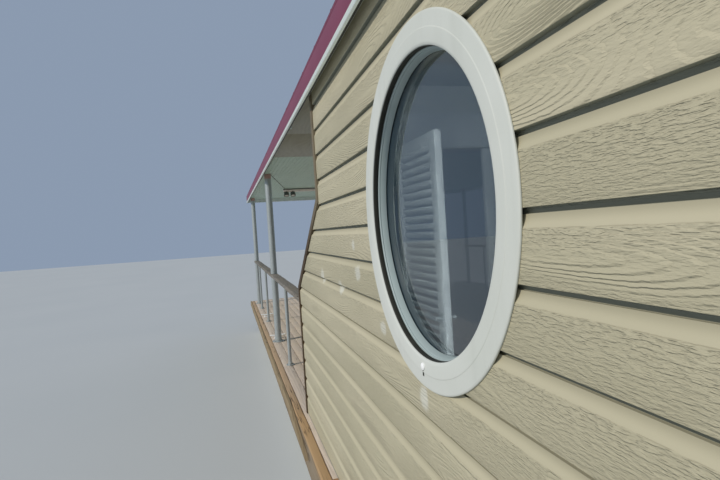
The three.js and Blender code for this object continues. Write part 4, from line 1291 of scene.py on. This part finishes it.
def makeCleat(node, look):
    low, high = corners(node)
    x, y = (low[:2] + high[:2]) / 2
    halfX, halfY = (high[:2] - low[:2]) / 2
    # horns: an oval carried along Y, a little thinner and lifted towards both tips
    t = np.linspace(-1, 1, 41)[:, None]
    angle = np.arange(20) * 2 * math.pi / 20
    blunt = np.sqrt(np.maximum(0, 1 - np.abs(t) ** 8))
    thick = look["thick"] * blunt * (1 - 0.15 * np.abs(t) ** 1.5)
    wide = halfX * blunt * (1 - 0.12 * t ** 2)
    lift = low[2] + look["middle"] + look["lift"] * t ** 2
    form = Form().grid(at(x + wide * np.cos(angle), y + t * halfY, lift + thick * np.sin(angle)))
    # legs: flared where they meet plate and horns
    z = np.linspace(low[2] + look["plate"] - 0.002, low[2] + look["middle"], 12)[:, None]
    flare = ((z - z.mean()) / (z[-1] - z[0]) * 2) ** 4
    wide, reach = look["leg"][0] * (1 + look["flare"][0] * flare), look["leg"][1] + look["flare"][1] * flare
    for way in (-1, 1):
        centre = y + way * look["legAt"]
        form.grid(capped(at(x + wide * np.cos(angle), centre + reach * np.sin(angle), z)))
    plateX, plateY = look["plateHalf"]
    form.grid(bars([x - plateX, y - plateY, low[2]], [x + plateX, y + plateY, low[2] + look["plate"]],
                   1, 0.003, 2, 4))
    form.piece(node + "_casting", "cleat_paint", ["cleat"], replaces=[node], sharp=45)
    heads = at(x, y + np.array([-1, 1]) * (plateY - look["boltIn"]), low[2] + look["plate"])
    Form().grid(screws(heads, (0, 0, 1), 0.0048, 0.0022, 12)).piece(node + "_bolts", "cleat_paint", ["bolt"])


for name in sides:
    for end in ("middle", "front"):
        makeCleat("cleat_" + end + "_" + name, cleatLook)
print("rails and cleats made")

# Lamp under the ceiling: a bar, two tilted heads and a cable clipped to the boards
lampLook = {
    "at": (5.3, 1.685), "bar": (0.06, 0.63, 0.034), "coverFoot": 0.052, "heads": (0.145, 0.262), "tilt": 0.4,
    "drop": 0.084, "radius": 0.046, "neck": 0.038, "length": 0.09, "ribs": (0.004, 0.014, 0.024),
    "cableRadius": 0.003, "cableEnd": (3.12, 2.40), "clipFrom": 0.2, "clipPitch": 0.3,
    "clip": [(0, -0.0062), (0.006, -0.006), (0.0085, -0.003), (0.0085, 0.0038), (0, 0.0038)],
}


def makeLamp(look):
    ceiling = corners("terrace_lamp")[1][2]
    x, y = look["at"]
    dx, dy, dz = look["bar"]
    form, lens = Form(), Form()
    # a dark tray against the ceiling with a pale cover under it
    form.grid(bars([x - dx / 2, y - dy / 2, ceiling - dz * 0.4], [x + dx / 2, y + dy / 2, ceiling],
                   1, 0.004, 2, 4))
    form.grid(bars([x - dx * 0.46, y - dy * 0.495, ceiling - look["coverFoot"]],
                   [x + dx * 0.46, y + dy * 0.495, ceiling - dz * 0.38], 1, 0.009, 2, 6), ink=1)
    # heads look aft and down: a shell with three ribs round its neck, a lens in its mouth, and a yoke
    axis = (-math.sin(look["tilt"]), 0, -math.cos(look["tilt"]))
    radius, neck, half = look["radius"], look["neck"], look["length"] / 2
    shell = [(0, -half), (neck * 0.7, -half), (neck, -half + 0.008), (radius * 0.97, half - 0.035),
             (radius, half - 0.012), (radius, half - 0.001), (radius - 0.002, half), (radius - 0.006, half),
             (radius - 0.008, half - 0.006), (0, half - 0.007)]
    glass = [(0, half - 0.0015), (radius * 0.5, half - 0.002), (radius - 0.0085, half - 0.0045),
             (radius - 0.0085, half - 0.0075), (0, half - 0.0075)]
    rib = np.array([(0.001, 0), (0.0035, 0.001), (0.0035, 0.003), (0.001, 0.004)]) + [neck, -half]
    for offset in look["heads"]:
        centre = np.array([x, y + offset, ceiling - look["drop"]])
        form.grid(turned(shell, centre, axis, 32))
        for place in look["ribs"]:
            form.grid(turned(rib + [0, place], centre, axis, 32), closeRows=True)
        lens.grid(turned(glass, centre, axis, 32))
        form.grid(bars([x - 0.009, centre[1] - 0.004, centre[2] + 0.01],
                       [x + 0.009, centre[1] + 0.004, ceiling - dz + 0.002], 2, 0.002))
    form.piece("lamp_body", "lamp_metal", ["lamp", "cover"], replaces=["terrace_lamp"])
    lens.piece("lamp_lenses", "lamp_metal", ["lens"])
    # straight cable pressed to the boards, from the lamp's port end to the middle post's head
    thin = look["cableRadius"]
    start = np.array([x - dx / 2 + 0.002, y + dy / 2 - 0.03, ceiling - thin])
    end = np.array([*look["cableEnd"], ceiling - thin])
    length = np.linalg.norm(end - start)
    ahead = (end - start) / length
    angle = np.arange(10) * 2 * math.pi / 10
    outline = thin * np.stack([np.cos(angle), np.sin(angle)], 1)
    form = Form().grid(carried(outline, [start], [end], np.cross([0, 0, 1], ahead), (0, 0, 1), 0.001))
    clips = start + ahead * np.arange(look["clipFrom"], length - 0.05, look["clipPitch"])[:, None]
    form.grid(turned(look["clip"], clips, count=12))
    form.piece("lamp_cable", "lamp_metal", ["cable"])


makeLamp(lampLook)
print("lamp made")

# Stage: a pale floor at the waterline, soft light, and the photo's own point of view
floorLook = {"half": 60.0, "colour": (190, 193, 192), "pale": (198, 200, 198), "rough": 0.7}
light = {
    "world": (0.52, 0.65, 0.86), "strength": 0.5, "sun": 2.35, "sunTint": (1.0, 0.955, 0.885),
    "sunTo": (-0.25, 0.77, 0.585), "sunSize": 0.05, "cabin": 36.0, "cabinTint": (0.86, 0.97, 1.0),
    "cabinAt": (-1.95, 2.26, 2.35), "cabinTo": (-0.62, 0.78, 0.0), "cabinSize": (0.25, 1.7),
}
view = {"at": (-3.700, 3.022, 2.490), "heading": 14.84, "pitch": -1.15, "roll": -3.69, "lens": 24.925}


def makeStage(look):
    half = look["half"]
    mesh = bpy.data.meshes.new("stage_floor")
    mesh.from_pydata(rectangle((-half, -half), (half, half), waterline).tolist(), [], [(0, 1, 2, 3)])
    floor = bpy.data.objects.new("stage_floor", mesh)
    bpy.context.scene.collection.objects.link(floor)
    paint = Paint("stage_floor_paint", {"Specular IOR Level": 0.2})
    x, y = paint.place()[:2]
    cloud = paint.noise(x * 0.3, y * 0.3, 0.0, 3.0)
    paint.feed("Base Color", paint.blend(cloud, shade(look["colour"]), shade(look["pale"])))
    paint.feed("Roughness", look["rough"] + cloud * 0.1)
    mesh.materials.append(paint.material)


def addLight(name, kind, energy, colour, facing):
    lamp = bpy.data.objects.new(name, bpy.data.lights.new(name, kind))
    lamp.data.energy = energy
    lamp.data.color = colour
    lamp.rotation_euler = Vector(facing).to_track_quat("Z", "Y").to_euler()
    bpy.context.scene.collection.objects.link(lamp)
    return lamp


def makeLight(look):
    world = bpy.data.worlds.new("studio")
    world.use_nodes = True
    background = world.node_tree.nodes["Background"]
    background.inputs["Color"].default_value = (*look["world"], 1)
    background.inputs["Strength"].default_value = look["strength"]
    bpy.context.scene.world = world
    sun = addLight("sun", "SUN", look["sun"], look["sunTint"], look["sunTo"])
    sun.data.angle = look["sunSize"]
    # a panel light on the inside of the port wall, turned inwards, that shows the open leaf
    cabin = addLight("cabin_light", "AREA", look["cabin"], look["cabinTint"], look["cabinTo"])
    cabin.data.shape = "RECTANGLE"
    cabin.data.size, cabin.data.size_y = look["cabinSize"]
    cabin.location = look["cabinAt"]
    cabin.visible_camera = False
    bpy.context.scene.view_settings.view_transform = "Standard"


def makeCamera(look):
    heading, pitch, roll = (math.radians(look[key]) for key in ("heading", "pitch", "roll"))
    level = math.cos(pitch)
    ahead = Vector((math.cos(heading) * level, -math.sin(heading) * level, math.sin(pitch)))
    right = Vector((-math.sin(heading), -math.cos(heading), 0))
    up = right.cross(ahead)
    turnedRight = right * math.cos(roll) + up * math.sin(roll)
    turnedUp = up * math.cos(roll) - right * math.sin(roll)
    axes = Matrix((turnedRight, turnedUp, -ahead)).transposed()
    camera = bpy.data.objects.new("photo_camera", bpy.data.cameras.new("photo_camera"))
    camera.data.lens = look["lens"]
    camera.data.sensor_width = 36
    camera.data.clip_start = 0.02
    camera.matrix_world = Matrix.Translation(look["at"]) @ axes.to_4x4()
    bpy.context.scene.collection.objects.link(camera)
    bpy.context.scene.camera = camera


makeStage(floorLook)
makeLight(light)
makeCamera(view)


print("stage set")
